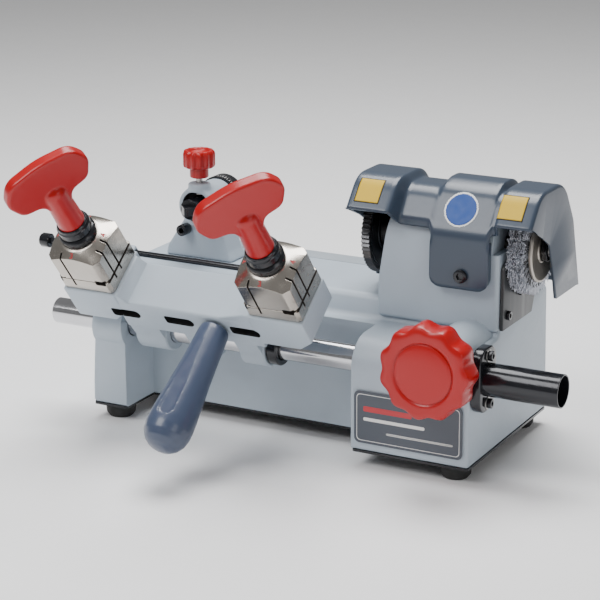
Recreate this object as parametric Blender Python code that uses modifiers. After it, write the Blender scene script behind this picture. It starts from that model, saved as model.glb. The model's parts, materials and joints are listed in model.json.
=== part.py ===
"""Bench key duplicating machine, built from named sub-parts.

Lengths below are in millimetres and MM turns them into metres. X runs along the carriage
shaft to the right, Y to the back and Z up. The drawing datum is the front left corner of
the right housing's foot line; ORIGIN moves it so that the model's own origin lies on the
bench, under the middle of the machine.
"""

from math import acos, atan2, cos, pi, radians, sin

import bmesh
import bpy
from mathutils import Matrix, Vector

MM = 0.001
GAP = 0.3
ORIGIN = Vector((12.8, 20.8, 0.0))

SHAFT_Y, SHAFT_Z, SHAFT_R = 13.1, 77.2, 10.0
SHAFT_LEFT, SHAFT_RIGHT = -191.0, 178.0
SPINDLE_Y, SPINDLE_Z, SPINDLE_R = 83.0, 156.0, 5.0
PINION_X, PINION_MODULE, PINION_TEETH = 139.8, 1.25, 10
PINION_R = PINION_MODULE * PINION_TEETH / 2
RACK_PITCH_HEIGHT = 6.75
PINION_Z = SHAFT_Z + RACK_PITCH_HEIGHT + PINION_R

LEG_LEFT, LEG_RIGHT = -151.8, -121.5
HOUSING_LEFT, HOUSING_RIGHT = 69.2, 161.0
BASE_BOTTOM, BASE_TOP, BASE_BACK = 12.9, 113.0, 150.0
RECESS_Y = 38.6
HEAD_FRONT, HEAD_BACK, HEAD_TOP = 47.0, 116.0, 188.0

TILT = radians(39)
CLAMP_X = {"left": -127.5, "right": 27.5}
CLAMP_Y = 3.5
BLOCK_TOP, TRAY_TOP = 62.0, 53.8
JAW_X, JAW_Y, LOWER_JAW, UPPER_JAW = 44.0, 41.0, 12.0, 29.5
STUD_R = 4.0
HANDLE_TURN = {"left": radians(51), "right": radians(43)}
GAUGE_Y, GAUGE_Z, GAUGE_R = 30.0, 49.5, 2.3
FINGER_SHIFT = 6.0

TRACER_X, TRACER_Z, TRACER_R = -100.0, 157.0, 8.0
TUBE_R, TUBE_BORE, TUBE_RIGHT = 12.0, 10.8, 224.6



def clear_scene():
    for obj in list(bpy.data.objects):
        bpy.data.objects.remove(obj)


clear_scene()
PARTS = bpy.data.collections.new("key_duplicating_machine")
CUTTERS = bpy.data.collections.new("cutters")
bpy.context.scene.collection.children.link(PARTS)
bpy.context.scene.collection.children.link(CUTTERS)
CUTTERS.hide_render = True


def material(name, color, roughness, metallic=0.0):
    made = bpy.data.materials.new(name)
    made.use_nodes = True
    shader = made.node_tree.nodes["Principled BSDF"]
    shader.inputs["Base Color"].default_value = (*color, 1.0)
    shader.inputs["Roughness"].default_value = roughness
    shader.inputs["Metallic"].default_value = metallic
    return made


CASTING = material("casting_paint", (0.42, 0.48, 0.54), 0.45)
HOOD_PAINT = material("hood_paint", (0.05, 0.075, 0.115), 0.4)
RED = material("red_plastic", (0.68, 0.015, 0.02), 0.35)
BLUE_GRIP = material("blue_grip", (0.09, 0.12, 0.22), 0.4)
NICKEL = material("nickel_steel", (0.6, 0.57, 0.52), 0.28, 1.0)
POLISHED = material("polished_steel", (0.75, 0.74, 0.72), 0.18, 1.0)
DARK_STEEL = material("dark_steel", (0.06, 0.06, 0.065), 0.35, 1.0)
BLACK_METAL = material("black_metal", (0.02, 0.02, 0.022), 0.3, 0.6)
BLACK_PLASTIC = material("black_plastic", (0.02, 0.02, 0.02), 0.5)
RUBBER = material("black_rubber", (0.015, 0.015, 0.015), 0.75)
WIRE = material("steel_wire", (0.55, 0.55, 0.55), 0.4, 1.0)
DISC = material("brush_disc", (0.5, 0.46, 0.42), 0.35, 1.0)
LABEL = material("label_film", (0.2, 0.25, 0.32), 0.4)
BRASS = material("bush_bronze", (0.55, 0.4, 0.2), 0.35, 1.0)
MOTOR_GREY = material("motor_grey", (0.25, 0.26, 0.27), 0.5, 0.5)


def frame(x, y, z, turn=None):
    """A frame at a drawing point, turned by a matrix; units are metres."""
    place = Matrix.Translation((Vector((x, y, z)) - ORIGIN) * MM)
    return place @ turn if turn else place


def axes(local_x, local_y, local_z):
    """The turn whose local axes point along these world directions."""
    return Matrix((local_x, local_y, local_z)).transposed().to_4x4()


ALONG_X = axes((0, 1, 0), (0, 0, 1), (1, 0, 0))
FACING_FRONT = axes((1, 0, 0), (0, 0, 1), (0, -1, 0))
WORLD = frame(0, 0, 0)
SHAFT = frame(0, SHAFT_Y, SHAFT_Z, ALONG_X)
SPINDLE = frame(0, SPINDLE_Y, SPINDLE_Z, ALONG_X)
CARRIAGE = frame(0, SHAFT_Y, SHAFT_Z, Matrix.Rotation(TILT, 4, "X"))


def shifted(base, x=0.0, y=0.0, z=0.0):
    return base @ Matrix.Translation(Vector((x, y, z)) * MM)


def in_carriage(turn, x, y, z):
    return shifted(CARRIAGE, x, y, z) @ turn


def new_object(name, mesh, paint, place):
    obj = bpy.data.objects.new(name, mesh)
    PARTS.objects.link(obj)
    obj.matrix_basis = place
    if paint:
        mesh.materials.append(paint)
    return obj


def from_bmesh(name, bm, paint, place):
    bmesh.ops.recalc_face_normals(bm, faces=bm.faces)
    mesh = bpy.data.meshes.new(name)
    bm.to_mesh(mesh)
    bm.free()
    mesh.shade_smooth()
    mesh.set_sharp_from_angle(angle=radians(35))
    return new_object(name, mesh, paint, place)


def bevel(obj, width, segments=2, angle=40):
    modifier = obj.modifiers.new("bevel", "BEVEL")
    modifier.width = width * MM
    modifier.segments = segments
    modifier.limit_method = "ANGLE"
    modifier.angle_limit = radians(angle)
    modifier.use_clamp_overlap = True
    return obj


def box(name, low, high, paint=None, place=WORLD, rounding=0.0):
    """A box between two corners of a frame, with its edges rounded if asked."""
    low, high = Vector(low), Vector(high)
    bm = bmesh.new()
    bmesh.ops.create_cube(bm, size=1.0)
    bmesh.ops.scale(bm, vec=(high - low) * MM, verts=bm.verts)
    bmesh.ops.translate(bm, vec=(low + high) * MM / 2, verts=bm.verts)
    obj = from_bmesh(name, bm, paint, place)
    return bevel(obj, rounding) if rounding else obj


def cylinder(name, radius, low, high, paint=None, place=WORLD, sides=24, top_radius=None):
    """A cylinder or cone along a frame's Z, from low to high."""
    bm = bmesh.new()
    bmesh.ops.create_cone(
        bm,
        cap_ends=True,
        segments=sides,
        radius1=radius * MM,
        radius2=(radius if top_radius is None else top_radius) * MM,
        depth=(high - low) * MM,
    )
    bmesh.ops.translate(bm, vec=(0, 0, (low + high) * MM / 2), verts=bm.verts)
    return from_bmesh(name, bm, paint, place)


def turned(name, profile, paint=None, place=WORLD, sides=24):
    """A turned solid: (radius, height) points run down the outside, closed on the axis or as a ring."""
    mesh = bpy.data.meshes.new(name)
    points = [(radius * MM, 0.0, height * MM) for radius, height in profile]
    ring = profile[0] == profile[-1]
    if ring:
        points.pop()
    edges = [(i, i + 1) for i in range(len(points) - 1)]
    if ring:
        edges.append((len(points) - 1, 0))
    mesh.from_pydata(points, edges, [])
    obj = new_object(name, mesh, paint, place)
    screw = obj.modifiers.new("screw", "SCREW")
    screw.steps = screw.render_steps = sides
    screw.use_merge_vertices = True
    screw.merge_threshold = 0.00001
    screw.use_smooth_shade = True
    return obj


def ring_profile(inner, outer, low, high):
    """A tube's section, down the outside and up the bore."""
    return [(outer, high), (outer, low), (inner, low), (inner, high), (outer, high)]


def rounded(corners, steps=4):
    """An outline from (x, y, radius) corners, with an arc at each rounded one."""
    outline = []
    count = len(corners)
    for i, (x, y, radius) in enumerate(corners):
        here = Vector((x, y))
        before = (Vector(corners[i - 1][:2]) - here).normalized()
        after = (Vector(corners[(i + 1) % count][:2]) - here).normalized()
        if not radius:
            outline.append(here)
            continue
        half = acos(max(-1.0, min(1.0, before.dot(after)))) / 2
        centre = here + (before + after).normalized() * (radius / sin(half))
        start = here + before * (radius * cos(half) / sin(half)) - centre
        end = here + after * (radius * cos(half) / sin(half)) - centre
        sweep = atan2(start.x * end.y - start.y * end.x, start.dot(end))
        for step in range(steps + 1):
            turn = Matrix.Rotation(sweep * step / steps, 2)
            outline.append(centre + turn @ start)
    return outline


def prism(name, outline, low, high, paint=None, place=WORLD):
    """A flat outline extruded along a frame's Z, from low to high."""
    curve = bpy.data.curves.new(name + "_outline", "CURVE")
    curve.dimensions = "2D"
    curve.fill_mode = "BOTH"
    curve.extrude = (high - low) * MM / 2
    spline = curve.splines.new("POLY")
    spline.points.add(len(outline) - 1)
    for point, corner in zip(spline.points, outline):
        point.co = (corner[0] * MM, corner[1] * MM, 0.0, 1.0)
    spline.use_cyclic_u = True
    guide = bpy.data.objects.new(name + "_outline", curve)
    CUTTERS.objects.link(guide)
    bpy.context.view_layer.update()
    mesh = bpy.data.meshes.new_from_object(guide.evaluated_get(bpy.context.evaluated_depsgraph_get()))
    bpy.data.objects.remove(guide)
    bm = bmesh.new()
    bm.from_mesh(mesh)
    bmesh.ops.remove_doubles(bm, verts=bm.verts, dist=0.000005)
    bmesh.ops.dissolve_limit(bm, angle_limit=radians(1), verts=bm.verts, edges=bm.edges)
    bmesh.ops.translate(bm, vec=(0, 0, (low + high) * MM / 2), verts=bm.verts)
    return from_bmesh(name, bm, paint, place)


def put_away(helper):
    PARTS.objects.unlink(helper)
    CUTTERS.objects.link(helper)
    helper.hide_render = True
    helper.display_type = "WIRE"


def boolean(obj, helper, operation):
    modifier = obj.modifiers.new(operation.lower(), "BOOLEAN")
    modifier.operation = operation
    modifier.solver = "EXACT"
    modifier.object = helper
    put_away(helper)


def cut(obj, *helpers):
    for helper in helpers:
        boolean(obj, helper, "DIFFERENCE")
    return obj


def fuse(obj, *helpers):
    for helper in helpers:
        boolean(obj, helper, "UNION")
    return obj


def pivot(name, place, parent=None):
    """An empty on a joint's axis, for the pieces that move with it."""
    empty = bpy.data.objects.new(name, None)
    PARTS.objects.link(empty)
    empty.empty_display_size = 0.02
    empty.matrix_basis = place
    if parent:
        attach(parent, empty)
    return empty


def attach(axis, *objects):
    """Parents objects to an empty without moving them: every empty keeps its world place in matrix_basis."""
    for obj in objects:
        obj.parent = axis
        obj.matrix_parent_inverse = axis.matrix_basis.inverted()


# ---------------------------------------------------------------- base


def base_section():
    """The casting's side view, as (y, z) corners with their radii."""
    return rounded(
        [
            (-1.0, BASE_BOTTOM, 0),
            (-2.0, 94.5, 22),
            (50.0, 96.5, 5),
            (55.0, BASE_TOP, 6),
            (144.0, BASE_TOP, 6),
            (BASE_BACK, BASE_BOTTOM, 0),
        ],
        steps=4,
    )


def head_section():
    return rounded(
        [
            (HEAD_FRONT, 100.0, 0),
            (HEAD_FRONT, HEAD_TOP, 29),
            (HEAD_BACK - 13, HEAD_TOP, 24),
            (HEAD_BACK, 100.0, 0),
        ],
        steps=4,
    )


def base_casting():
    body = prism("base_casting", base_section(), LEG_LEFT, HOUSING_RIGHT, CASTING, frame(0, 0, 0, ALONG_X))
    bevel(body, 2.5)
    recess = box("front_recess", (LEG_RIGHT, -20, 0), (HOUSING_LEFT, RECESS_Y, 130))
    hub = cylinder("leg_hub", 20.0, LEG_LEFT + 1, LEG_RIGHT, place=SHAFT)
    head = prism("head", head_section(), 66.0, HOUSING_RIGHT - 0.4, place=frame(0, 0, 0, ALONG_X))
    bevel(head, 2.5)
    knob_place = frame(PINION_X, 0, PINION_Z, FACING_FRONT)
    boss = cylinder("knob_boss", 18.0, -HEAD_FRONT - 4, -4.0, place=knob_place)
    cut(body, recess)
    fuse(body, hub, head, boss)
    slope = Matrix.Rotation(radians(9), 4, "Y")
    cut(body, box("head_slope", (-30, 40, 0), (0, 130, 100), place=frame(64.5, 0, BASE_TOP + 0.2, slope)))
    cut(body, *base_cavities(), *base_bores())
    return body


def base_cavities():
    """The hollow casting: open below, and up through the top into the head."""
    yield box("main_cavity", (-146, 45, 5), (155, 144, 90))
    yield box("upper_cavity", (-146, 62, 80), (155, 139, 107))
    yield box("leg_cavity", (-146, 8, 5), (-128, 46, 48))
    yield box("housing_cavity", (76, 8, 5), (154, 46, 56))
    yield box("belt_cavity", (86, 54, 100), (142, 106.5, 135))
    yield box("head_cavity", (86, 54, 130), (142, 102, 178))
    yield box("brush_recess", (155.5, 40, 157), (170, 125, 200))


def base_bores():
    """Holes for the shaft's bushes, the pinion and its spindle, and the spindle bearings."""
    yield cylinder("bush_bore", 13.3, LEG_LEFT - 5, LEG_RIGHT + 5, place=SHAFT)
    yield cylinder("shaft_bore", SHAFT_R + 0.35, HOUSING_LEFT - 5, HOUSING_RIGHT + 5, place=SHAFT)
    yield cylinder("pinion_bore", 8.3, -SHAFT_Y - 8.0, 30.0, place=frame(PINION_X, 0, PINION_Z, FACING_FRONT))
    yield cylinder("bearing_bore", 13.3, 60.0, 170.0, place=SPINDLE)


def bottom_plate():
    outline = [
        (LEG_LEFT + 1, 1.5),
        (LEG_RIGHT - 1, 1.5),
        (LEG_RIGHT - 1, RECESS_Y + 1),
        (HOUSING_LEFT + 1, RECESS_Y + 1),
        (HOUSING_LEFT + 1, 1.5),
        (HOUSING_RIGHT - 1, 1.5),
        (HOUSING_RIGHT - 1, BASE_BACK - 1),
        (LEG_LEFT + 1, BASE_BACK - 1),
    ]
    return prism("bottom_plate", outline, BASE_BOTTOM - GAP - 1.6, BASE_BOTTOM - GAP, BLACK_METAL)


def feet():
    profile = [(0, 10.7), (12, 10.7), (11.6, 7), (10.2, 1), (9.2, 0), (0, 0)]
    places = {
        "front_left": (-137.0, 15.0),
        "front_right": (145.0, 15.0),
        "rear_left": (-137.0, 135.0),
        "rear_right": (145.0, 135.0),
    }
    for where, (x, y) in places.items():
        turned("foot_" + where, profile, RUBBER, frame(x, y, 0), sides=16)


# ---------------------------------------------------------------- head, hood and guards

HOOD_LEFT, HOOD_RIGHT, HOOD_WALL = 47.0, 190.0, 2.5
HOOD_BULGES = ((HOOD_LEFT, 81.0), (160.5, HOOD_RIGHT))
HOOD_CROWN = [(96.0, 204.5, 28), (117.5, 172.0, 20), (133.5, 119.5, 0)]
TONGUE_BACK = HEAD_FRONT - GAP


def drawn_in(corners, inset):
    """Corners of the crown moved inwards by a wall's thickness."""
    return [(y - inset * (y > 100), z - inset * (1 if y < 130 else 2), r) for y, z, r in corners]


def bulge_section(inset):
    """The hood's side view over the cutter or the brush, drawn in for its inside."""
    front = [(31.5 + inset, 182.5 - inset, 0), (50.0, 204.5 - inset, 22)]
    under = [(85.0, 119.5 - 2 * inset, 0), (76.5, 147.0, 0), (69.0, 163.5, 0), (55.0, 172.0, 0)]
    return rounded(front + drawn_in(HOOD_CROWN, inset) + under, steps=4)


def middle_section():
    """The middle band, which comes down the head's front as a tongue."""
    front = [(39.6, 131.0, 0), (39.6, 170.0, 16), (58.5, 197.5, 16), (71.0, 204.5, 14)]
    under = [(110.0, 119.5, 0), (TONGUE_BACK, 172.0, 0), (TONGUE_BACK, 131.0, 0)]
    return rounded(front + HOOD_CROWN + under, steps=3)


def bridge_section(inset):
    """The lower bands between, which stop further back."""
    front = [(44.5, 172.0, 0), (43.5 + inset, 178.5, 0), (58.0, 199.0 - inset, 18)]
    crown = [(91.0, 199.0, 22), (113.0, 170.0, 20), (129.0, 119.5, 0)]
    under = [(110.0, 119.5 - 2 * inset, 0), (100.0, 172.0, 0)]
    return rounded(front + drawn_in(crown, inset) + under, steps=4)


def hood():
    place = frame(0, 0, 0, ALONG_X)
    shell = prism("hood", bridge_section(0), HOOD_LEFT + 6, HOOD_RIGHT - 6, HOOD_PAINT, place)
    for i, (left, right) in enumerate(HOOD_BULGES):
        fuse(shell, bevel(prism(f"bulge_{i}", bulge_section(0), left, right, place=place), 1.5, 1))
    fuse(shell, bevel(prism("middle_band", middle_section(), 110.5, 155.4, place=place), 1.5, 1))
    cut(shell, prism("hood_hollow", bridge_section(HOOD_WALL), HOOD_LEFT + 3, HOOD_RIGHT - 3, place=place))
    for i, (left, right) in enumerate(HOOD_BULGES):
        section = bulge_section(HOOD_WALL)
        cut(shell, prism(f"bulge_hollow_{i}", section, left + HOOD_WALL, right - HOOD_WALL, place=place))
    cut(shell, box("hood_inside", (HOOD_LEFT + 3, TONGUE_BACK, 100), (HOOD_RIGHT - 3, 124, 172.5)))
    cut(shell, cylinder("nut_window", 13.0, HOOD_LEFT - 5, HOOD_LEFT + 3.2, place=SPINDLE, sides=16))
    cut(shell, cylinder("hood_screw_hole", 2.4, -55, -30, place=frame(135, 0, 141, FACING_FRONT), sides=12))
    return shell


def socket_screw(name, place, head_r, head_h, shank_r, shank_l, paint=BLACK_METAL):
    """A socket head screw along a frame's Z, its head's underside at zero."""
    profile = [(0, head_h * 0.4), (head_r * 0.5, head_h * 0.4), (head_r * 0.5, head_h), (head_r, head_h)]
    profile += [(head_r, 0), (shank_r, 0), (shank_r, -shank_l), (0, -shank_l)]
    return turned(name, profile, paint, place, sides=12)


def side_plate():
    """The black plate behind the brush, on the head's right face."""
    outline = rounded([(50, 101, 0), (106, 101, 0), (113, 118, 0), (113, 150, 6), (50, 150, 6)])
    place = frame(HOUSING_RIGHT + GAP, 0, 0, ALONG_X)
    plate = prism("side_plate", outline, 0, 2.5, DARK_STEEL, place)
    cut(plate, cylinder("plate_hole", 14.5, -5, 10, place=shifted(SPINDLE, z=HOUSING_RIGHT)))
    return plate


# ---------------------------------------------------------------- spindle


def cutter_outline():
    """The cutter's fine ratchet teeth."""
    count, tip, root = 40, 32.5, 30.8
    outline = []
    for tooth in range(count):
        angle = 2 * pi * tooth / count
        outline.append((tip * cos(angle), tip * sin(angle)))
        outline.append((root * cos(angle + 0.3 * 2 * pi / count), root * sin(angle + 0.3 * 2 * pi / count)))
    return outline


def spindle_group():
    axis = pivot("spindle_axis", SPINDLE)
    shaft_profile = [
        (0, 186.5), (SPINDLE_R, 186.5), (SPINDLE_R, 121), (14, 121), (12.5, 119), (12.5, 113), (14, 111),
        (SPINDLE_R, 111), (SPINDLE_R, 84.5), (7, 84.5), (7, 82.5), (SPINDLE_R, 82.5),
        (SPINDLE_R, 45.0), (0, 45.0),
    ]
    spindle = turned("spindle", shaft_profile, DARK_STEEL, SPINDLE, sides=16)
    cutter = prism("cutter", cutter_outline(), 50.5, 57.0, DARK_STEEL, SPINDLE)
    cut(cutter, cylinder("cutter_bore", SPINDLE_R + GAP, 40, 70, place=SPINDLE, sides=16))
    nut = cylinder("cutter_nut", 10.0, 46.0, 50.2, DARK_STEEL, SPINDLE, sides=6)
    cut(nut, cylinder("nut_bore", SPINDLE_R + GAP, 40, 60, place=SPINDLE, sides=16))
    collar = turned("cutter_collar", ring_profile(SPINDLE_R + GAP, 14, 57.3, 64.0), DARK_STEEL, SPINDLE, 16)
    bristles = turned("brush_bristles", ring_profile(17.0, 33.8, 165.5, 177.5), WIRE, SPINDLE)
    disc_profile = [
        (24, 180.5), (24, 177.8), (16.5, 177.8), (16.5, 165.2), (24, 165.2), (24, 163.8),
        (SPINDLE_R + GAP, 163.8), (SPINDLE_R + GAP, 180.5), (24, 180.5),
    ]
    disc = turned("brush_disc", disc_profile, DISC, SPINDLE)
    brush_nut = cylinder("brush_nut", 9.0, 180.8, 185.5, DARK_STEEL, SPINDLE, sides=6)
    cut(brush_nut, cylinder("brush_nut_bore", SPINDLE_R + GAP, 175, 190, place=SPINDLE, sides=16))
    attach(axis, spindle, cutter, nut, collar, bristles, disc, brush_nut)
    for side, low in (("left", 74.0), ("right", 144.5)):
        ring = ring_profile(SPINDLE_R + GAP, 13.0, low, low + 8.0)
        turned("spindle_bearing_" + side, ring, POLISHED, SPINDLE, sides=20)


# ---------------------------------------------------------------- motor and belt

MOTOR_Y, MOTOR_Z, MOTOR_R = 100.0, 62.0, 34.0
BELT_LOW, BELT_HIGH, SPINDLE_PULLEY_R, MOTOR_PULLEY_R = 113.5, 118.5, 12.5, 9.0


def belt_outline(extra):
    """Both pulleys' hull, grown by extra; local x is the world's y and local y its z."""
    ends = [(SPINDLE_Y, SPINDLE_Z, SPINDLE_PULLEY_R + extra), (MOTOR_Y, MOTOR_Z, MOTOR_PULLEY_R + extra)]
    (ax, ay, ar), (bx, by, br) = ends
    line = Vector((bx - ax, by - ay))
    heading = atan2(line.y, line.x)
    lean = acos((ar - br) / line.length)
    steps = 10
    outline = []
    for x, y, radius, start, sweep in (
        (ax, ay, ar, heading + lean, 2 * (pi - lean)),
        (bx, by, br, heading - lean, 2 * lean),
    ):
        for step in range(steps + 1):
            angle = start + sweep * step / steps
            outline.append((x + radius * cos(angle), y + radius * sin(angle)))
    return outline


def drive_group():
    place = frame(0, 0, 0, ALONG_X)
    belt = prism("drive_belt", belt_outline(2.6), BELT_LOW, BELT_HIGH, RUBBER, place)
    cut(belt, prism("belt_inside", belt_outline(0.5), 100, 130, place=place))
    motor_place = frame(0, MOTOR_Y, MOTOR_Z, ALONG_X)
    profile = [(0, 98), (10, 98), (10, 96), (26, 94), (MOTOR_R, 88), (MOTOR_R, 12), (26, 6), (0, 6)]
    motor = turned("motor", profile, MOTOR_GREY, motor_place, sides=20)
    cut(motor, cylinder("rotor_bore", 4.3, 60, 110, place=motor_place, sides=20))
    axis = pivot("motor_axis", motor_place)
    rotor_profile = [
        (0, 122), (MOTOR_PULLEY_R + 2, 122), (MOTOR_PULLEY_R + 2, 120), (MOTOR_PULLEY_R, 119),
        (MOTOR_PULLEY_R, 113), (MOTOR_PULLEY_R + 2, 112), (MOTOR_PULLEY_R + 2, 110),
        (4, 110), (4, 62), (0, 62),
    ]
    attach(axis, turned("motor_pulley", rotor_profile, DARK_STEEL, motor_place, sides=20))
    cradle = box("motor_cradle", (20, 66, 13.5), (80, 134, 50), CASTING)
    cut(cradle, cylinder("cradle_seat", MOTOR_R + GAP, 0, 110, place=motor_place))


# ---------------------------------------------------------------- shaft, tube and front knob


def rack_outline():
    """The cut above the rack's teeth, in the X-Z plane with z from the shaft's axis."""
    pitch = pi * PINION_MODULE
    tip = RACK_PITCH_HEIGHT + PINION_MODULE
    root = RACK_PITCH_HEIGHT - 1.25 * PINION_MODULE
    first, count = PINION_X - 11.5 * pitch, 15
    outline = [(first - pitch / 2, 14.0), (first - pitch / 2, tip)]
    for tooth in range(count):
        middle = first + tooth * pitch
        for shift, height in ((0.12, tip), (0.36, root), (0.64, root), (0.88, tip)):
            outline.append((middle + shift * pitch, height))
    last = first + count * pitch
    return outline + [(last + pitch / 2, tip), (last + pitch / 2, 14.0)]


def pinion_outline():
    """Straight sided teeth, narrow enough to run in the rack with backlash."""
    outer = PINION_R + 0.8 * PINION_MODULE
    inner = PINION_R - 1.2 * PINION_MODULE
    outline = []
    for tooth in range(PINION_TEETH):
        middle = 2 * pi * tooth / PINION_TEETH - pi / 2
        for shift, radius in ((-0.22, inner), (-0.07, outer), (0.07, outer), (0.22, inner)):
            angle = middle + shift * 2 * pi / PINION_TEETH
            outline.append((radius * cos(angle), radius * sin(angle)))
    return outline


def shaft_group():
    slide = pivot("carriage_slide_axis", SHAFT)
    shaft = cylinder("carriage_shaft", SHAFT_R, SHAFT_LEFT, SHAFT_RIGHT, POLISHED, SHAFT)
    bevel(shaft, 0.8, 1, 60)
    place = frame(0, SHAFT_Y, SHAFT_Z, FACING_FRONT)
    cut(shaft, prism("rack_cut", rack_outline(), -15, 15, place=place))
    collar = turned("stop_collar", ring_profile(SHAFT_R + GAP, 14.5, -0.5, 7.5), BLACK_METAL, SHAFT)
    attach(slide, shaft, collar)
    bush = ring_profile(SHAFT_R + GAP, 13.0, LEG_LEFT + 1.5, LEG_RIGHT - 1.5)
    turned("shaft_bush", bush, BRASS, SHAFT)
    return slide


def tube_group():
    ring = ring_profile(TUBE_BORE, TUBE_R, HOUSING_RIGHT + 6.0, TUBE_RIGHT)
    turned("shaft_tube", ring, BLACK_METAL, SHAFT)
    outline = rounded([(-14.5, -23.5, 10), (14.5, -23.5, 10), (14.5, 23.5, 10), (-14.5, 23.5, 10)])
    flange_place = shifted(SHAFT, z=HOUSING_RIGHT + GAP)
    flange = prism("tube_flange", outline, 0, 7.5, BLACK_METAL, flange_place)
    bevel(flange, 1.0, 1)
    cut(flange, cylinder("flange_bore", SHAFT_R + 0.8, -5, 20, place=flange_place))
    cut(flange, cylinder("tube_seat", TUBE_R + GAP, 5.3, 20, place=flange_place))
    for side, reach in (("upper", 17.5), ("lower", -17.5)):
        place = shifted(flange_place, y=reach, z=7.5 + GAP)
        socket_screw("flange_screw_" + side, place, 3.6, 3.6, 1.8, 6.5)
        cut(flange, cylinder("screw_hole_" + side, 2.1, -15, 20, place=place, sides=12))


def knob_outline(count=11, mean=33.2, wave=1.4):
    points = count * 6
    outline = []
    for i in range(points):
        angle = 2 * pi * i / points
        radius = mean + wave * cos(count * angle)
        outline.append((radius * cos(angle), radius * sin(angle)))
    return outline


def knob_group():
    place = frame(PINION_X, 0, PINION_Z, FACING_FRONT)
    axis = pivot("front_knob_axis", place)
    knob = prism("front_knob", knob_outline(), 15.0, 35.0, RED, place)
    bevel(knob, 2.5, 1, 50)
    cut(knob, cylinder("knob_dish", 22.0, 32.0, 45, place=place))
    cut(knob, cylinder("knob_back", 27.0, 5, 19.0, place=place))
    cut(knob, cylinder("knob_bore", 4.3, 0, 28.0, place=place, sides=20))
    cap = turned("front_knob_cap", [(0, 36.6), (17, 36.2), (20.5, 34.8), (21.3, 32.4), (0, 32.4)], RED, place)
    spindle = cylinder("pinion_spindle", 4.0, -5.3, 27.5, POLISHED, place, sides=20)
    pinion = prism("pinion_teeth", pinion_outline(), -SHAFT_Y - 6.0, -SHAFT_Y + 6.0, place=place)
    tail = cylinder("pinion_tail", 4.0, -SHAFT_Y - 7.5, -5.0, place=place, sides=20)
    fuse(spindle, tail, pinion)
    attach(axis, knob, cap, spindle)


# ---------------------------------------------------------------- carriage

HUBS = ((-111.0, -84.0), (-64.0, -46.0), (-22.0, -1.2))
TRAY_LEFT, TRAY_RIGHT, TRAY_FRONT, TRAY_REAR = -108.0, 8.0, -18.0, 20.4


def carriage_casting():
    """The tray with its two clamp blocks, webs and hubs; local y runs up the slope and z off it."""
    along = axes((0, 1, 0), (0, 0, 1), (1, 0, 0))
    side = CARRIAGE @ along
    tray_section = rounded(
        [(TRAY_FRONT, 24.0, 0), (-11.0, 24.0, 0), (-11.0, 44.0, 3), (TRAY_REAR, 47.5, 0),
         (TRAY_REAR, TRAY_TOP, 1.5), (TRAY_FRONT, TRAY_TOP, 1.5)],
        steps=3,
    )
    body = prism("carriage_casting", tray_section, TRAY_LEFT, TRAY_RIGHT, CASTING, side)
    for name, x in CLAMP_X.items():
        fuse(body, clamp_block(name, x))
    for i, (left, right) in enumerate(HUBS):
        web = rounded([(-14.0, 0.0, 0), (14.0, 0.0, 0), (10.0, 46.0, 0), (-17.0, 46.0, 0)])
        fuse(body, prism(f"web_{i}", web, left + 1, right - 1, place=side))
        fuse(body, cylinder(f"hub_{i}", 16.5, left, right, place=side))
    for x in (-103.5, -58.0, -3.0):
        slot = rounded([(x - 13, 37.0, 2), (x + 13, 37.0, 4), (x + 13, 45.5, 4), (x - 13, 45.5, 2)])
        cut(body, prism(f"slot_{x}", slot, 10.0, 25.0, place=CARRIAGE @ FACING_FRONT))
    cut(body, cylinder("carriage_bore", SHAFT_R + 0.35, -200, 100, place=side))
    cut(body, cylinder("lever_hole", 5.3, -11.5, 12, place=lever_place(), sides=20))
    fuse(body, *gauge_lugs())
    cut(body, cylinder("gauge_bore", GAUGE_R + GAP, -200, 100, place=gauge_place(), sides=16))
    for x in CLAMP_X.values():
        place = shifted(CARRIAGE, x, CLAMP_Y)
        cut(body, cylinder(f"stud_hole_{x}", STUD_R + GAP, 40, 80, place=place, sides=20))
    return body


def clamp_block(name, x):
    """A block under a clamp, its lower right corner cut away."""
    half = 22.5
    outline = rounded(
        [(x - half, 29.0, 1), (x + half - 12, 29.0, 0), (x + half, 39.0, 0), (x + half, BLOCK_TOP, 1),
         (x - half, BLOCK_TOP, 1)],
        steps=2,
    )
    return bevel(prism("block_" + name, outline, -24.0, 18.3, place=CARRIAGE @ FACING_FRONT), 1.0, 1)


def gauge_place():
    return shifted(CARRIAGE, y=GAUGE_Y, z=GAUGE_Z) @ axes((0, 1, 0), (0, 0, 1), (1, 0, 0))


def gauge_lugs():
    """Two ears on the casting's back that carry the gauge rod."""
    for i, x in enumerate((-118.0, 14.0)):
        outline = rounded([(-11.5, -4.5, 0), (4.5, -4.5, 4.4), (4.5, 4.5, 4.4), (-11.5, 4.5, 0)], 3)
        yield prism(f"gauge_lug_{i}", outline, x - 4, x + 4, place=gauge_place())


def gauge_group(parent):
    place = gauge_place()
    axis = pivot("gauge_axis", place, parent)
    rod = cylinder("gauge_rod", GAUGE_R, -193.0, 36.0, BLACK_METAL, place, sides=16)
    profile = [(0, -190), (5.6, -190), (5.6, -198), (4.6, -199), (0, -199)]
    knob = turned("gauge_knob", profile, BLACK_METAL, place, 20)
    cut(knob, cylinder("gauge_knob_bore", GAUGE_R + GAP, -196, -180, place=place, sides=16))
    attach(axis, rod, knob)
    for name, x in CLAMP_X.items():
        outline = rounded([(-4.5, -26.0, 1), (-0.8, -26.0, 1), (4.5, 4.5, 4.4), (-4.5, 4.5, 4.4)], 3)
        left = x - FINGER_SHIFT - 3
        finger = prism("gauge_finger_" + name, outline, left, left + 6, BLACK_METAL, place)
        bore = cylinder("finger_bore_" + name, GAUGE_R + GAP, left - 5, left + 11, place=place, sides=16)
        cut(finger, bore)
        attach(axis, finger)


def lever_place():
    """The lever's frame: its Z runs straight out of the tray's front face."""
    return in_carriage(Matrix.Rotation(pi / 2, 4, "X"), -27.0, TRAY_FRONT - GAP, 41.0)


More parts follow.
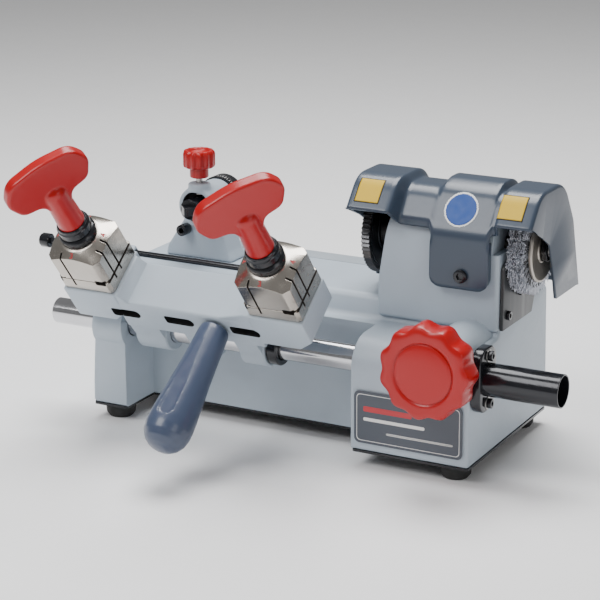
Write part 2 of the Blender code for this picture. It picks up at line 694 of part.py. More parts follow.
def lever_grip(parent):
    profile = [
        (0, 105), (6, 104), (11.5, 100.8), (15.6, 95.5), (17.3, 88.5), (17.0, 80), (15.2, 60),
        (13.0, 36), (11.8, 14), (11.0, 4), (9.5, 1.5), (0, 1.5),
    ]
    lever = turned("lever_grip", profile, BLUE_GRIP, lever_place(), sides=20)
    stud = cylinder("lever_stud", 5.0, -11.0, 24.0, POLISHED, lever_place(), sides=20)
    cut(lever, cylinder("lever_socket", 5.3, -5, 26.0, place=lever_place(), sides=20))
    attach(parent, lever, stud)


# ---------------------------------------------------------------- clamps


def t_bar(turn, place):
    """The T handle's cross bar, its edges rounded."""
    half = [(9.0, 24, 4), (12, 38, 7), (27, 40.5, 9), (34.5, 56, 11), (26, 71, 14)]
    outline = rounded([(-x, y, r) for x, y, r in half] + [(0, 75.0, 60)] + half[::-1], steps=2)
    upright = axes((cos(turn), sin(turn), 0), (0, 0, 1), (sin(turn), -cos(turn), 0))
    return bevel(prism("bar", outline, -5.0, 5.0, place=place @ upright), 2.0, 1, 50)


def clamp(name, parent):
    x = CLAMP_X[name]
    base = shifted(CARRIAGE, x, CLAMP_Y)
    half_x, half_y = JAW_X / 2, JAW_Y / 2
    low = BLOCK_TOP + GAP
    high = low + LOWER_JAW
    lower = box("lower_jaw_" + name, (-half_x, -half_y, low), (half_x, half_y, high), NICKEL, base, 0.8)
    cut(lower, cylinder("lower_bore_" + name, STUD_R + GAP, 50, 90, place=base, sides=20))
    stud = cylinder("clamp_stud_" + name, STUD_R, 44.0, 128.0, POLISHED, base, sides=20)
    attach(parent, lower, stud)

    jaw_low = high + GAP
    upper = chamfered_jaw("upper_jaw_" + name, base, half_x, half_y, jaw_low)
    cut(upper, cylinder("upper_bore_" + name, STUD_R + GAP, 60, 110, place=base, sides=20))
    jaw_top = jaw_low + UPPER_JAW
    ring = ring_profile(STUD_R + GAP, 14.0, jaw_top + GAP, jaw_top + 6.5)
    washer = turned("clamp_washer_" + name, ring, BLACK_METAL, base)
    handle_base = shifted(base, z=jaw_top + 6.5 + GAP)
    handle = turned(
        "clamp_handle_" + name,
        [(0, 48), (6, 47), (9.2, 43), (9.4, 30), (10.4, 8.5), (12.6, 8.5), (12.6, 0), (0, 0)],
        RED,
        handle_base,
        sides=20,
    )
    fuse(handle, t_bar(HANDLE_TURN[name], handle_base))
    cut(handle, cylinder("handle_bore_" + name, STUD_R + GAP, -5, 26, place=handle_base, sides=20))
    lift = pivot(f"clamp_lift_axis_{name}", base, parent)
    turn = pivot(f"handle_axis_{name}", base, lift)
    attach(lift, upper, washer)
    attach(turn, handle)


def chamfered_jaw(name, place, half_x, half_y, low):
    """The upper jaw: a block with cut corners whose top slopes down to all four sides."""
    slope = 5.0
    high = low + UPPER_JAW
    body = box(name, (-half_x, -half_y, low), (half_x, half_y, high - slope), NICKEL, place)
    squeeze = Matrix.Diagonal((1, half_y / half_x, 1, 1)) @ Matrix.Rotation(pi / 4, 4, "Z")
    roof = cylinder("roof_" + name, half_x * 2**0.5, high - slope - 0.001, high, place=place @ squeeze,
                    sides=4, top_radius=(half_x - 8.0) * 2**0.5)
    fuse(body, roof)
    reach = (half_x + half_y) / 2**0.5 - 3.5
    for i in range(4):
        corner = place @ Matrix.Rotation(pi / 4 + i * pi / 2, 4, "Z")
        cut(body, box(f"corner_{i}_{name}", (reach, -20, low - 1), (reach + 20, 20, high + 1), place=corner))
    return body


# ---------------------------------------------------------------- tracer


def tracer_group():
    place = frame(TRACER_X, 0, TRACER_Z, FACING_FRONT)
    low = BASE_TOP + GAP
    left_edge = [(-114, 150, 0), (-132, 122, 3)]
    pillar = rounded([(-134, low, 0), (-74, low, 0), (-78, 122, 3), (-86, 150, 0), *left_edge])
    bracket = prism("tracer_bracket", pillar, -104.0, -80.0, CASTING, frame(0, 0, 0, FACING_FRONT))
    bevel(bracket, 2.0)
    fuse(bracket, cylinder("tracer_barrel", 15.5, -104.5, -70.0, place=place))
    cut(bracket, cylinder("tracer_bore", TRACER_R + GAP, -130, -60, place=place, sides=24))
    top = frame(TRACER_X, 76.0, 0)
    fuse(bracket, cylinder("lock_boss", 8.5, 165.0, 175.0, place=top, sides=24))
    cut(bracket, cylinder("lock_bore", 2.8, 160, 190, place=top, sides=16))
    slide = pivot("tracer_slide_axis", place)
    rod = cylinder("tracer_rod", TRACER_R, -119.0, -58.0, BLACK_METAL, place, sides=24)
    fuse(rod, tracer_tip(place))
    attach(slide, rod)
    ring_axis = pivot("tracer_ring_axis", place)
    ring = [(16.5, -104.8), (16.5, -116), (15, -117), (8.3, -117), (8.3, -104.8), (16.5, -104.8)]
    graduated = turned("tracer_ring", ring, BLACK_METAL, place)
    attach(ring_axis, graduated)
    lock_axis = pivot("tracer_lock_axis", top)
    knob = prism("tracer_lock_knob", knob_outline(9, 11.8, 0.7), 187.0, 201.0, RED, top)
    bevel(knob, 1.2, 1, 50)
    fuse(knob, cylinder("lock_neck", 7.2, 179.5, 187.5, place=top, sides=24))
    fuse(knob, cylinder("lock_stem", 2.5, 166.0, 180.0, place=top, sides=16))
    attach(lock_axis, knob)
    screw_place = frame(-114.0, 0, 136.4, FACING_FRONT)
    cut(bracket, cylinder("bracket_screw_hole", 2.8, -100, -70, place=screw_place, sides=16))
    socket_screw("bracket_screw", shifted(screw_place, z=-80.0 + GAP), 4.5, 9.0, 2.5, 14.0)


def tracer_tip(place):
    """The wedge on the tracer rod's front end."""
    outline = [(-8.0 * 0.9, -59.0), (8.0 * 0.9, -59.0), (3.0, -51.0), (-3.0, -51.0)]
    flat = place @ axes((1, 0, 0), (0, 0, 1), (0, -1, 0))
    flipped = [(x, -z) for x, z in outline]
    return prism("tracer_tip", flipped, -3.2, 3.2, place=flat @ Matrix.Diagonal((1, -1, -1, 1)))


# ---------------------------------------------------------------- label, switch and inlet


def label_plate():
    outline = rounded([(72.5, 19.5, 5), (157, 19.5, 5), (157, 59, 5), (72.5, 59, 5)])
    lean = Matrix.Rotation(radians(0.7), 4, "X")
    place = frame(0, -1.1, 16.0, lean) @ FACING_FRONT
    return prism("label_plate", [(x, z - 16.0) for x, z in outline], 1.0, 1.6, LABEL, place)


def rear_fittings():
    """The switch and the power inlet on the casting's back, and their bodies inside it."""
    back = BASE_BACK + GAP
    housing = box("switch_housing", (100, back, 58), (132, back + 3.0, 84), BLACK_PLASTIC, rounding=0.8)
    cut(housing, box("switch_window", (105, back - 5, 62), (127, back + 9, 80)))
    axis = pivot("switch_axis", frame(0, back + 1.0, 71.0, ALONG_X))
    outline = rounded([(-4, -8.5, 1), (3.6, -8.5, 1), (1.6, 0, 0), (5.4, 8.5, 1), (-4, 8.5, 1)], 2)
    rocker = prism("switch_rocker", outline, 106.0, 126.0, BLACK_PLASTIC, axis.matrix_basis)
    attach(axis, rocker)
    inlet = box("power_inlet", (92, back, 24), (140, back + 3.0, 50), BLACK_PLASTIC, rounding=0.8)
    cut(inlet, box("inlet_mouth", (103, back + 0.8, 28), (129, back + 9, 46)))


# ---------------------------------------------------------------- the machine


def build_machine():
    base_casting()
    bottom_plate()
    feet()
    hood()
    socket_screw("hood_screw", frame(135, 39.6 - GAP, 141.0, FACING_FRONT), 5.0, 4.0, 2.0, 6.0)
    side_plate()
    spindle_group()
    drive_group()
    slide = shaft_group()
    tube_group()
    knob_group()
    tilt = pivot("carriage_tilt_axis", SHAFT, slide)
    attach(tilt, carriage_casting())
    lever_grip(tilt)
    gauge_group(tilt)
    for name in CLAMP_X:
        clamp(name, tilt)
    tracer_group()
    label_plate()
    rear_fittings()


build_machine()
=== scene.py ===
"""The key duplicating machine's looks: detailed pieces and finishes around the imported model."""

import json
import random
from math import acos, atan2, cos, pi, radians, sin

import bmesh
import bpy
from mathutils import Matrix, Vector


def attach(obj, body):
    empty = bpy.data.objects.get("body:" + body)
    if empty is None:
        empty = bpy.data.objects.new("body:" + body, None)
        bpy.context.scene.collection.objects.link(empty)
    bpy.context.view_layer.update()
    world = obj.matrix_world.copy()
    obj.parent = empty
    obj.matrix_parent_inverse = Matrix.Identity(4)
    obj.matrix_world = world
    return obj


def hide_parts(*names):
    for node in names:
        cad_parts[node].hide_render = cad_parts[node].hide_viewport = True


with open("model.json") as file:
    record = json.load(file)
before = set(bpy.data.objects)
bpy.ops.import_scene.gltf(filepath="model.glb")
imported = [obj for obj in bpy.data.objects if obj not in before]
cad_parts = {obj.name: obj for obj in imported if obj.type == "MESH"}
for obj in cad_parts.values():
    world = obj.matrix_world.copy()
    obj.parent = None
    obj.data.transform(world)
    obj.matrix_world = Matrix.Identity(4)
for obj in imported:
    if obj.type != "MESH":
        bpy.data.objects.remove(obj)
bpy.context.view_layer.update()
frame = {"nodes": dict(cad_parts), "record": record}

MM = 0.001
ORIGIN = Vector((12.8, 20.8, 0.0))
GAP = 0.3

# ---------------------------------------------------------------- places


def at(x, y, z, turn=None):
    """A frame at a drawing point in millimetres, turned by a matrix."""
    place = Matrix.Translation((Vector((x, y, z)) - ORIGIN) * MM)
    return place @ turn if turn else place


def axes(local_x, local_y, local_z):
    return Matrix((local_x, local_y, local_z)).transposed().to_4x4()


def shifted(base, x=0.0, y=0.0, z=0.0):
    return base @ Matrix.Translation(Vector((x, y, z)) * MM)


ALONG_X = axes((0, 1, 0), (0, 0, 1), (1, 0, 0))
FACING_FRONT = axes((1, 0, 0), (0, 0, 1), (0, -1, 0))
WORLD = at(0, 0, 0)
SIDE = at(0, 0, 0, ALONG_X)
SHAFT = at(0, 13.1, 77.2, ALONG_X)
SPINDLE = at(0, 83.0, 156.0, ALONG_X)
CARRIAGE = at(0, 13.1, 77.2, Matrix.Rotation(radians(39), 4, "X"))
CARRIAGE_SIDE = CARRIAGE @ ALONG_X
CARRIAGE_FRONT = CARRIAGE @ FACING_FRONT
GAUGE = shifted(CARRIAGE, y=30.0, z=49.5) @ ALONG_X
KNOB = at(139.8, 0, 90.2, FACING_FRONT)
TRACER = at(-100.0, 0, 157.0, FACING_FRONT)
LOCK = at(-100.0, 76.0, 0)
LEVER = shifted(CARRIAGE, -27.0, -18.3, 41.0) @ Matrix.Rotation(pi / 2, 4, "X")
CLAMP_X = {"left": -127.5, "right": 27.5}
HANDLE_TURN = {"left": radians(51), "right": radians(43)}

# ---------------------------------------------------------------- materials


def nodes_of(mat):
    return mat.node_tree.nodes, mat.node_tree.links


def noise(mat, coords, scale, detail=3.0, rough=0.55):
    nodes, links = nodes_of(mat)
    made = nodes.new("ShaderNodeTexNoise")
    made.inputs["Scale"].default_value = scale
    made.inputs["Detail"].default_value = detail
    made.inputs["Roughness"].default_value = rough
    links.new(coords, made.inputs["Vector"])
    return made.outputs["Fac"]


def spread(mat, value, low, high, start=0.3, end=0.7):
    nodes, links = nodes_of(mat)
    made = nodes.new("ShaderNodeMapRange")
    for name, number in (("From Min", start), ("From Max", end), ("To Min", low), ("To Max", high)):
        made.inputs[name].default_value = number
    links.new(value, made.inputs["Value"])
    return made.outputs["Result"]


def blend_color(mat, factor, first, second):
    nodes, links = nodes_of(mat)
    made = nodes.new("ShaderNodeMix")
    made.data_type = "RGBA"
    links.new(factor, made.inputs["Factor"])
    for socket, color in ((made.inputs[6], first), (made.inputs[7], second)):
        if isinstance(color, tuple):
            socket.default_value = (*color, 1.0)
        else:
            links.new(color, socket)
    return made.outputs[2]


def scaled(color, factor):
    return tuple(min(1.0, channel * factor) for channel in color)


def grooved(mat, coords, along, across):
    """Coordinates squeezed along one local axis, so that noise becomes lines along it."""
    nodes, links = nodes_of(mat)
    mapping = nodes.new("ShaderNodeMapping")
    mapping.inputs["Scale"].default_value = tuple(along if axis == across else 1.0 for axis in "XYZ")
    links.new(coords, mapping.inputs["Vector"])
    return mapping.outputs["Vector"]


def turned_coords(mat, coords):
    """Coordinates that are the same all round local Z, so that noise becomes a lathe's rings."""
    nodes, links = nodes_of(mat)
    split = nodes.new("ShaderNodeSeparateXYZ")
    links.new(coords, split.inputs[0])
    flat = nodes.new("ShaderNodeCombineXYZ")
    links.new(split.outputs["X"], flat.inputs["X"])
    links.new(split.outputs["Y"], flat.inputs["Y"])
    length = nodes.new("ShaderNodeVectorMath")
    length.operation = "LENGTH"
    links.new(flat.outputs[0], length.inputs[0])
    joined = nodes.new("ShaderNodeCombineXYZ")
    links.new(length.outputs["Value"], joined.inputs["X"])
    links.new(split.outputs["Z"], joined.inputs["Z"])
    return joined.outputs[0]


def finish_material(name, color, rough, metal=0.0, coat=0.0, grain=(900.0, 0.15), blotch=0.06,
                    lines=None, edge=0.0006, scuff=None, rough_spread=0.06):
    """A finish with a fine grain, cloudy colour and roughness, and edges rounded in the light."""
    mat = bpy.data.materials.new(name)
    mat.use_nodes = True
    nodes, links = nodes_of(mat)
    shader = nodes["Principled BSDF"]
    shader.inputs["Metallic"].default_value = metal
    shader.inputs["Coat Weight"].default_value = coat
    shader.inputs["Coat Roughness"].default_value = 0.12
    coords = nodes.new("ShaderNodeTexCoord").outputs["Object"]
    cloud = noise(mat, coords, 28.0, 4.0)
    base = blend_color(mat, spread(mat, cloud, 0.0, 1.0), scaled(color, 1 - blotch),
                       scaled(color, 1 + blotch))
    if scuff:
        mark = spread(mat, noise(mat, coords, 160.0, 6.0, 0.7), 0.0, 1.0, 0.66, 0.74)
        base = blend_color(mat, mark, base, scuff)
    links.new(base, shader.inputs["Base Color"])
    fine_coords = coords
    if lines == "turned":
        fine_coords = turned_coords(mat, coords)
    elif lines:
        fine_coords = grooved(mat, coords, 0.02, lines)
    fine = noise(mat, fine_coords, grain[0], 3.0)
    patch = noise(mat, fine_coords if lines else coords, grain[0] * 0.25, 3.0)
    links.new(spread(mat, patch, rough - rough_spread, rough + rough_spread),
              shader.inputs["Roughness"])
    bump = nodes.new("ShaderNodeBump")
    bump.inputs["Strength"].default_value = grain[1]
    bump.inputs["Distance"].default_value = 0.0002
    links.new(fine, bump.inputs["Height"])
    if edge:
        soft = nodes.new("ShaderNodeBevel")
        soft.samples = 4
        soft.inputs["Radius"].default_value = edge
        links.new(soft.outputs["Normal"], bump.inputs["Normal"])
    links.new(bump.outputs["Normal"], shader.inputs["Normal"])
    return mat


CASTING = finish_material("casting_paint_look", (0.43, 0.495, 0.56), 0.42, grain=(1500.0, 0.22),
                          blotch=0.03, edge=0.0012)
# Painted shade: a darker copy of the casting paint, for a rear lip face that is turned from the
# light.
CASTING_PAINTED_SHADE = finish_material("casting_painted_shade_look", (0.33, 0.37, 0.41), 0.55, grain=(1500.0, 0.3),
                               blotch=0.05)
HOOD_PAINT = finish_material("hood_paint_look", (0.036, 0.053, 0.082), 0.32, coat=0.25,
                             grain=(1300.0, 0.1), blotch=0.02,
                             rough_spread=0.02)
RED = finish_material("red_plastic_look", (0.4, 0.0, 0.001), 0.3, coat=0.05, grain=(500.0, 0.04),
                      blotch=0.02,
                      rough_spread=0.02)
BLUE_GRIP = finish_material("blue_grip_look", (0.048, 0.066, 0.115), 0.34, coat=0.2,
                            grain=(700.0, 0.08), blotch=0.03)
NICKEL = finish_material("nickel_look", (0.5, 0.46, 0.41), 0.24, 1.0, grain=(900.0, 0.1),
                         blotch=0.1,
                         lines="X", edge=0.0005, scuff=(0.3, 0.27, 0.24))
POLISHED = finish_material("polished_look", (0.6, 0.6, 0.62), 0.14, 1.0, grain=(2500.0, 0.06),
                           lines="turned", edge=0)
STEEL = finish_material("ground_steel_look", (0.42, 0.41, 0.4), 0.3, 1.0, grain=(2500.0, 0.15),
                        lines="turned")
DARK_STEEL = finish_material("dark_steel_look", (0.09, 0.09, 0.095), 0.32, 1.0, grain=(2200.0, 0.2),
                             lines="turned")
PLATE = finish_material("side_plate_look", (0.055, 0.057, 0.06), 0.38, 0.4, grain=(900.0, 0.2),
                        lines="Y")
BLACK_METAL = finish_material("black_metal_look", (0.012, 0.013, 0.017), 0.2, 0.4, coat=0.3,
                              grain=(900.0, 0.06),
                              edge=0.0004)
RUBBER = finish_material("rubber_look", (0.014, 0.014, 0.014), 0.65, grain=(1200.0, 0.35),
                         blotch=0.2)
BLACK_PLASTIC = finish_material("black_plastic_look", (0.018, 0.018, 0.019), 0.45,
                                grain=(1600.0, 0.3), blotch=0.1)
DISC = finish_material("brush_disc_look", (0.46, 0.42, 0.37), 0.35, 0.85, grain=(2200.0, 0.2),
                       lines="turned")
WIRE = finish_material("wire_look", (0.66, 0.68, 0.74), 0.4, 0.5, grain=(400.0, 0.1), blotch=0.25,
                       edge=0)
# Painted shade: a near-black colour for the brush's packed wire roots, where shade falls between the
# wires.
WIRE_ROOTS_SHADE = finish_material("wire_roots_painted_shade_look", (0.05, 0.052, 0.058), 0.6, 0.3, grain=(900.0, 0.6),
                             blotch=0.4, edge=0)
INSIDE = finish_material("shadow_black_look", (0.01, 0.01, 0.011), 0.7, grain=(600.0, 0.2),
                         blotch=0.2, edge=0)
LABEL = finish_material("label_look", (0.06, 0.07, 0.09), 0.35, coat=0.15, grain=(900.0, 0.03),
                        blotch=0.02, rough_spread=0.02)
LABEL_RED = finish_material("label_red_look", (0.5, 0.02, 0.03), 0.35, coat=0.2,
                            grain=(900.0, 0.04), edge=0)
WHITE = finish_material("print_white_look", (0.82, 0.82, 0.8), 0.35, coat=0.2, grain=(900.0, 0.04),
                        blotch=0.02, edge=0)
YELLOW = finish_material("sticker_yellow_look", (0.62, 0.4, 0.0), 0.5, coat=0.0,
                         grain=(900.0, 0.04), blotch=0.03,
                         edge=0)
BLUE_PRINT = finish_material("sticker_blue_look", (0.0, 0.05, 0.27), 0.5, coat=0.0,
                             grain=(900.0, 0.04), blotch=0.03,
                             edge=0)
RED_PRINT = finish_material("digit_red_look", (0.45, 0.03, 0.03), 0.5, grain=(900.0, 0.1), edge=0)
# Painted shade on the walls of the jaws' cuts, notches and rebates; also the printed border round
# the yellow stickers.
CUT_SHADE_AND_PRINTED_EDGE = finish_material("cut_shade_and_printed_edge_look", (0.035, 0.028, 0.024), 0.6, 0.4, grain=(900.0, 0.2),
                         blotch=0.2, edge=0)
BRONZE = finish_material("bronze_look", (0.5, 0.36, 0.18), 0.32, 1.0, grain=(2200.0, 0.15),
                         lines="turned")
MOTOR = finish_material("motor_look", (0.22, 0.23, 0.24), 0.45, 0.3, grain=(900.0, 0.2))
FLOOR = finish_material("floor_look", (0.95, 0.95, 0.955), 0.75, grain=(300.0, 0.02), blotch=0.008,
                        edge=0)

# ---------------------------------------------------------------- shapes


def link(obj, place, mat):
    bpy.context.scene.collection.objects.link(obj)
    obj.matrix_world = place
    if mat:
        obj.data.materials.append(mat)
    return obj


def from_bmesh(name, bm, mat, place, angle=35):
    bmesh.ops.recalc_face_normals(bm, faces=bm.faces)
    mesh = bpy.data.meshes.new(name)
    bm.to_mesh(mesh)
    bm.free()
    mesh.shade_smooth()
    mesh.set_sharp_from_angle(angle=radians(angle))
    return link(bpy.data.objects.new(name, mesh), place, mat)


def bevel(obj, width, segments=3, angle=35):
    modifier = obj.modifiers.new("bevel", "BEVEL")
    modifier.width = width * MM
    modifier.segments = segments
    modifier.limit_method = "ANGLE"
    modifier.angle_limit = radians(angle)
    return obj


def baked(obj, angle=35):
    """The object with its modifiers applied and its shading smoothed between sharp edges."""
    graph = bpy.context.evaluated_depsgraph_get()
    mesh = bpy.data.meshes.new_from_object(obj.evaluated_get(graph))
    obj.modifiers.clear()
    obj.data = mesh
    mesh.shade_smooth()
    mesh.set_sharp_from_angle(angle=radians(angle))
    return obj


def box(name, low, high, mat=None, place=WORLD, rounding=0.0):
    low, high = Vector(low), Vector(high)
    bm = bmesh.new()
    bmesh.ops.create_cube(bm, size=1.0)
    bmesh.ops.scale(bm, vec=(high - low) * MM, verts=bm.verts)
    bmesh.ops.translate(bm, vec=(low + high) * MM / 2, verts=bm.verts)
    obj = from_bmesh(name, bm, mat, place)
    return bevel(obj, rounding) if rounding else obj


def lathe(name, profile, mat=None, place=WORLD, sides=64, closed=False, angle=35, lobes=0):
    """A shape turned round Z from (radius, height) points; a third number is the lobes' depth."""
    bm = bmesh.new()
    rings = []
    for radius, height, *depth in profile:
        if radius < 0.001:
            rings.append([bm.verts.new((0, 0, height * MM))])
            continue
        ring = []
        for i in range(sides):
            turn = 2 * pi * i / sides
            reach = (radius + (depth[0] * cos(lobes * turn) if depth else 0)) * MM
            ring.append(bm.verts.new((reach * cos(turn), reach * sin(turn), height * MM)))
        rings.append(ring)
    pairs = list(zip(rings, rings[1:]))
    if closed:
        pairs.append((rings[-1], rings[0]))
    for first, second in pairs:
        for i in range(sides):
            j = (i + 1) % sides
            corners = [first[i % len(first)], first[j % len(first)], second[j % len(second)],
                       second[i % len(second)]]
            face = list(dict.fromkeys(corners))
            if len(face) > 2:
                bm.faces.new(face)
    return from_bmesh(name, bm, mat, place, angle)


def tube(name, inner, outer, low, high, mat=None, place=WORLD, sides=64, edge=0.5):
    e = edge
    profile = [(outer, low + e), (outer, high - e), (outer - e, high), (inner + e, high),
               (inner, high - e),
               (inner, low + e), (inner + e, low), (outer - e, low)]
    return lathe(name, profile, mat, place, sides, closed=True)


def cylinder(name, radius, low, high, mat=None, place=WORLD, sides=48, edge=0.0):
    corners = [(radius, low), (radius, high)]
    if edge:
        corners = [(radius - edge, low), (radius, low + edge), (radius, high - edge),
                   (radius - edge, high)]
    return lathe(name, [(0, low), *corners, (0, high)], mat, place, sides)


def rounded(corners, steps=6):
    """An outline from (x, y, radius) corners, with an arc at each rounded one."""
    outline = []
    count = len(corners)
    for i, (x, y, radius) in enumerate(corners):
        here = Vector((x, y))
        before = (Vector(corners[i - 1][:2]) - here).normalized()
        after = (Vector(corners[(i + 1) % count][:2]) - here).normalized()
        if not radius:
            outline.append(here)
            continue
        half = acos(max(-1.0, min(1.0, before.dot(after)))) / 2
        centre = here + (before + after).normalized() * (radius / sin(half))
        start = here + before * (radius * cos(half) / sin(half)) - centre
        end = here + after * (radius * cos(half) / sin(half)) - centre
        sweep = atan2(start.x * end.y - start.y * end.x, start.dot(end))
        for step in range(steps + 1):
            outline.append(centre + Matrix.Rotation(sweep * step / steps, 2) @ start)
    return outline


def rectangle(left, low, right, high, radius, steps=6):
    """A rectangle's outline with its corners rounded."""
    corners = ((left, low), (right, low), (right, high), (left, high))
    return rounded([(x, y, radius) for x, y in corners], steps)


def polygon(sides, radius):
    """A regular polygon's outline."""
    return [(radius * cos(2 * pi * i / sides),
             radius * sin(2 * pi * i / sides)) for i in range(sides)]


def prism(name, outline, low, high, mat=None, place=WORLD, rounding=0.0, segments=3):
    """A flat outline extruded along a frame's Z, from low to high."""
    bm = bmesh.new()
    bottom = [bm.verts.new((x * MM, y * MM, low * MM)) for x, y in outline]
    face = bm.faces.new(bottom)
    moved = bmesh.ops.extrude_face_region(bm, geom=[face])["geom"]
    bmesh.ops.translate(bm, vec=(0, 0, (high - low) * MM),
                        verts=[v for v in moved if isinstance(v, bmesh.types.BMVert)])
    obj = from_bmesh(name, bm, mat, place)
    return bevel(obj, rounding, segments, 50) if rounding else obj


def boolean(obj, helpers, operation):
    for helper in helpers:
        modifier = obj.modifiers.new(operation.lower(), "BOOLEAN")
        modifier.operation = operation
        modifier.solver = "EXACT"
        modifier.object = helper
    baked(obj)
    for helper in helpers:
        bpy.data.objects.remove(helper)
    return obj


def cut(obj, *helpers):
    return boolean(obj, helpers, "DIFFERENCE")


def carve(obj, painted_wall_shade, *helpers):
    """Cuts the helpers away and gives the walls they leave a dark material of their own: painted
    shade.
    """
    obj.data.materials.append(painted_wall_shade)
    for helper in helpers:
        for face in helper.data.polygons:
            face.material_index = 1
    return cut(obj, *helpers)


def fuse(obj, *helpers):
    return boolean(obj, helpers, "UNION")


def soften(obj, voxel, rounds, keep=0.35):
    """Cast or moulded softness: remeshed finely, its edges and corners smoothed, then thinned."""
    remesh = obj.modifiers.new("remesh", "REMESH")
    remesh.mode = "VOXEL"
    remesh.voxel_size = voxel * MM
    smooth = obj.modifiers.new("smooth", "SMOOTH")
    smooth.iterations = rounds
    smooth.factor = 0.5
    thin = obj.modifiers.new("thin", "DECIMATE")
    thin.ratio = keep
    return baked(obj, 60)


def socket_screw(name, place, head_r, head_h, body, mat=BLACK_METAL):
    """A socket head screw's head, with its hexagon and knurled rim."""
    flutes, flute_depth, edge = 60, 0.12, 0.35
    outline = []
    for i in range(flutes):
        reach = head_r - flute_depth * (i % 2)
        outline.append((reach * cos(2 * pi * i / flutes), reach * sin(2 * pi * i / flutes)))
    rim = prism(name, outline, 0.0, head_h, mat, place, edge, 2)
    key = prism("key", polygon(6, head_r * 0.55),
                head_h * 0.35, head_h + 1, place=place)
    cut(rim, key)
    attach(rim, body)
    return rim


def in_world(obj):
    """Moves the object's place into its mesh, so that its box is tight round it."""
    obj.data.transform(obj.matrix_world)
    obj.matrix_world = Matrix.Identity(4)
    return obj


def settle(obj, body, slot, *stands_for):
    """Rides the piece on its body and hides the plain nodes it stands for; the finish's name it is
    given is not used.
    """
    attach(obj, body)
    if stands_for:
        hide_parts(*stands_for)
    return obj


# ---------------------------------------------------------------- base casting

HOUSING_LEFT, HOUSING_RIGHT = 69.2, 161.0
LEG_LEFT, LEG_RIGHT = -151.8, -121.5


def base_body():
    section = rounded([(-1.0, 12.9, 0), (-2.0, 94.5, 22), (50.0, 96.5, 5), (55.0, 113.0, 6),
                       (144.0, 113.0, 6),
                       (150.0, 12.9, 0)], 10)
    body = prism("base_casting_skin", section, LEG_LEFT, HOUSING_RIGHT, CASTING, SIDE, 2.5)
    head = prism("head", rounded([(47.0, 100.0, 0), (47.0, 188.0, 29), (103.0, 188.0, 24),
                                  (116.0, 100.0, 0)], 12),
                 66.0, HOUSING_RIGHT - 0.4, None, SIDE, 3.0)
    recess = box("recess", (LEG_RIGHT, -20, 0), (HOUSING_LEFT, 38.6, 130))
    hub = cylinder("leg_hub", 20.0, LEG_LEFT + 1, LEG_RIGHT, place=SHAFT)
    boss = cylinder("knob_boss", 18.0, -51.0, -4.0, place=KNOB, edge=1.0)
    cut(body, recess)
    fuse(body, hub, head, boss)
    slope = Matrix.Rotation(radians(9), 4, "Y")
    cut(body, box("head_slope", (-30, 40, 0), (0, 130, 100), place=at(64.5, 0, 113.2, slope)),
        box("brush_recess", (155.5, 40, 157), (170, 125, 200)),
        cylinder("shaft_bore", 10.6, -170, 0, place=SHAFT),
        cylinder("housing_bore", 10.6, 60, 158, place=SHAFT),
        cylinder("spindle_bore", 14.3, 150, 170, place=SPINDLE),
        cylinder("knob_bore", 4.6, 0, 12, place=KNOB))
    leg_draft = Matrix.Rotation(radians(4), 4, "Y")
    cut(body, box("leg_draft", (-20, -20, 0), (0, 60, 90), place=at(LEG_LEFT, 0, 12, leg_draft)))
    return settle(body, "base", "casting_paint", "base_casting")


def base_details():
    # Painted shade: a thin band of darker casting paint on the top at the back, where a lip face
    # lies in shade.
    rear = prism("rear_painted_shade_band", rectangle(-149, 124, 158, 142, 3),
                 112.9, 113.25, CASTING_PAINTED_SHADE, WORLD)
    settle(rear, "base", "casting_paint")
    trim = prism("bottom_trim", rounded([(-151.4, -0.6, 2), (-121.9, -0.6, 2), (-121.9, 38.9, 1),
                                         (69.6, 38.9, 1),
                                         (69.6, -0.6, 2), (160.6, -0.6, 2), (160.6, 149.6, 2),
                                         (-151.4, 149.6, 2)]),
                 11.0, 12.8, BLACK_METAL)
    settle(trim, "base", "black_metal", "bottom_plate")
    for where, (x, y) in {"front_left": (-137, 15), "front_right": (145, 15),
                          "rear_left": (-137, 135),
                          "rear_right": (145, 135)}.items():
        profile = [(0, 10.9), (12.0, 10.9), (12.0, 10.0), (11.0, 3.0), (9.4, 0.6), (8.6, 0.0),
                   (3.2, 0.0), (3.0, 2.5),
                   (0, 2.5)]
        settle(lathe("rubber_foot_" + where, profile, RUBBER, at(x, y, 0)), "base", "black_rubber",
               "foot_" + where)


def label():
    lean = Matrix.Rotation(radians(0.7), 4, "X")
    place = at(0, -1.1, 0, lean) @ FACING_FRONT
    plate = prism("front_label", rectangle(72.5, 19.5, 157, 59, 4), 0.9, 1.45,
                  LABEL, place, 0.2, 1)
    settle(plate, "base", "label_film", "label_plate")
    rim = rectangle(74.5, 21.5, 155, 57, 3)
    edge = [(x + (114.75 - x) * 0.012, y + (39.25 - y) * 0.025) for x, y in rim]
    line = strip_between("label_line", rim, edge, 1.47, place, WHITE)
    settle(line, "base", "label_film")
    for i, (low, high, left, right, mat) in enumerate(((44.0, 48.0, 80, 118, LABEL_RED),
                                                       (37.0, 39.5, 80, 128, WHITE),
                                                       (28.5, 30.0, 98, 150, WHITE))):
        bar = prism(f"label_bar_{i}", rectangle(left, low, right, high, 1),
                    1.45, 1.5, mat, place)
        settle(bar, "base", "label_film")


def strip_between(name, outer, inner, height, place, mat):
    bm = bmesh.new()
    rings = [[bm.verts.new((x * MM, y * MM, height * MM)) for x, y in ring] for ring in (outer,
                                                                                         inner)]
    for i in range(len(outer)):
        j = (i + 1) % len(outer)
        bm.faces.new((rings[0][i], rings[0][j], rings[1][j], rings[1][i]))
    obj = from_bmesh(name, bm, mat, place)
    solid = obj.modifiers.new("solid", "SOLIDIFY")
    solid.thickness = 0.00005
    return obj


# ---------------------------------------------------------------- hood

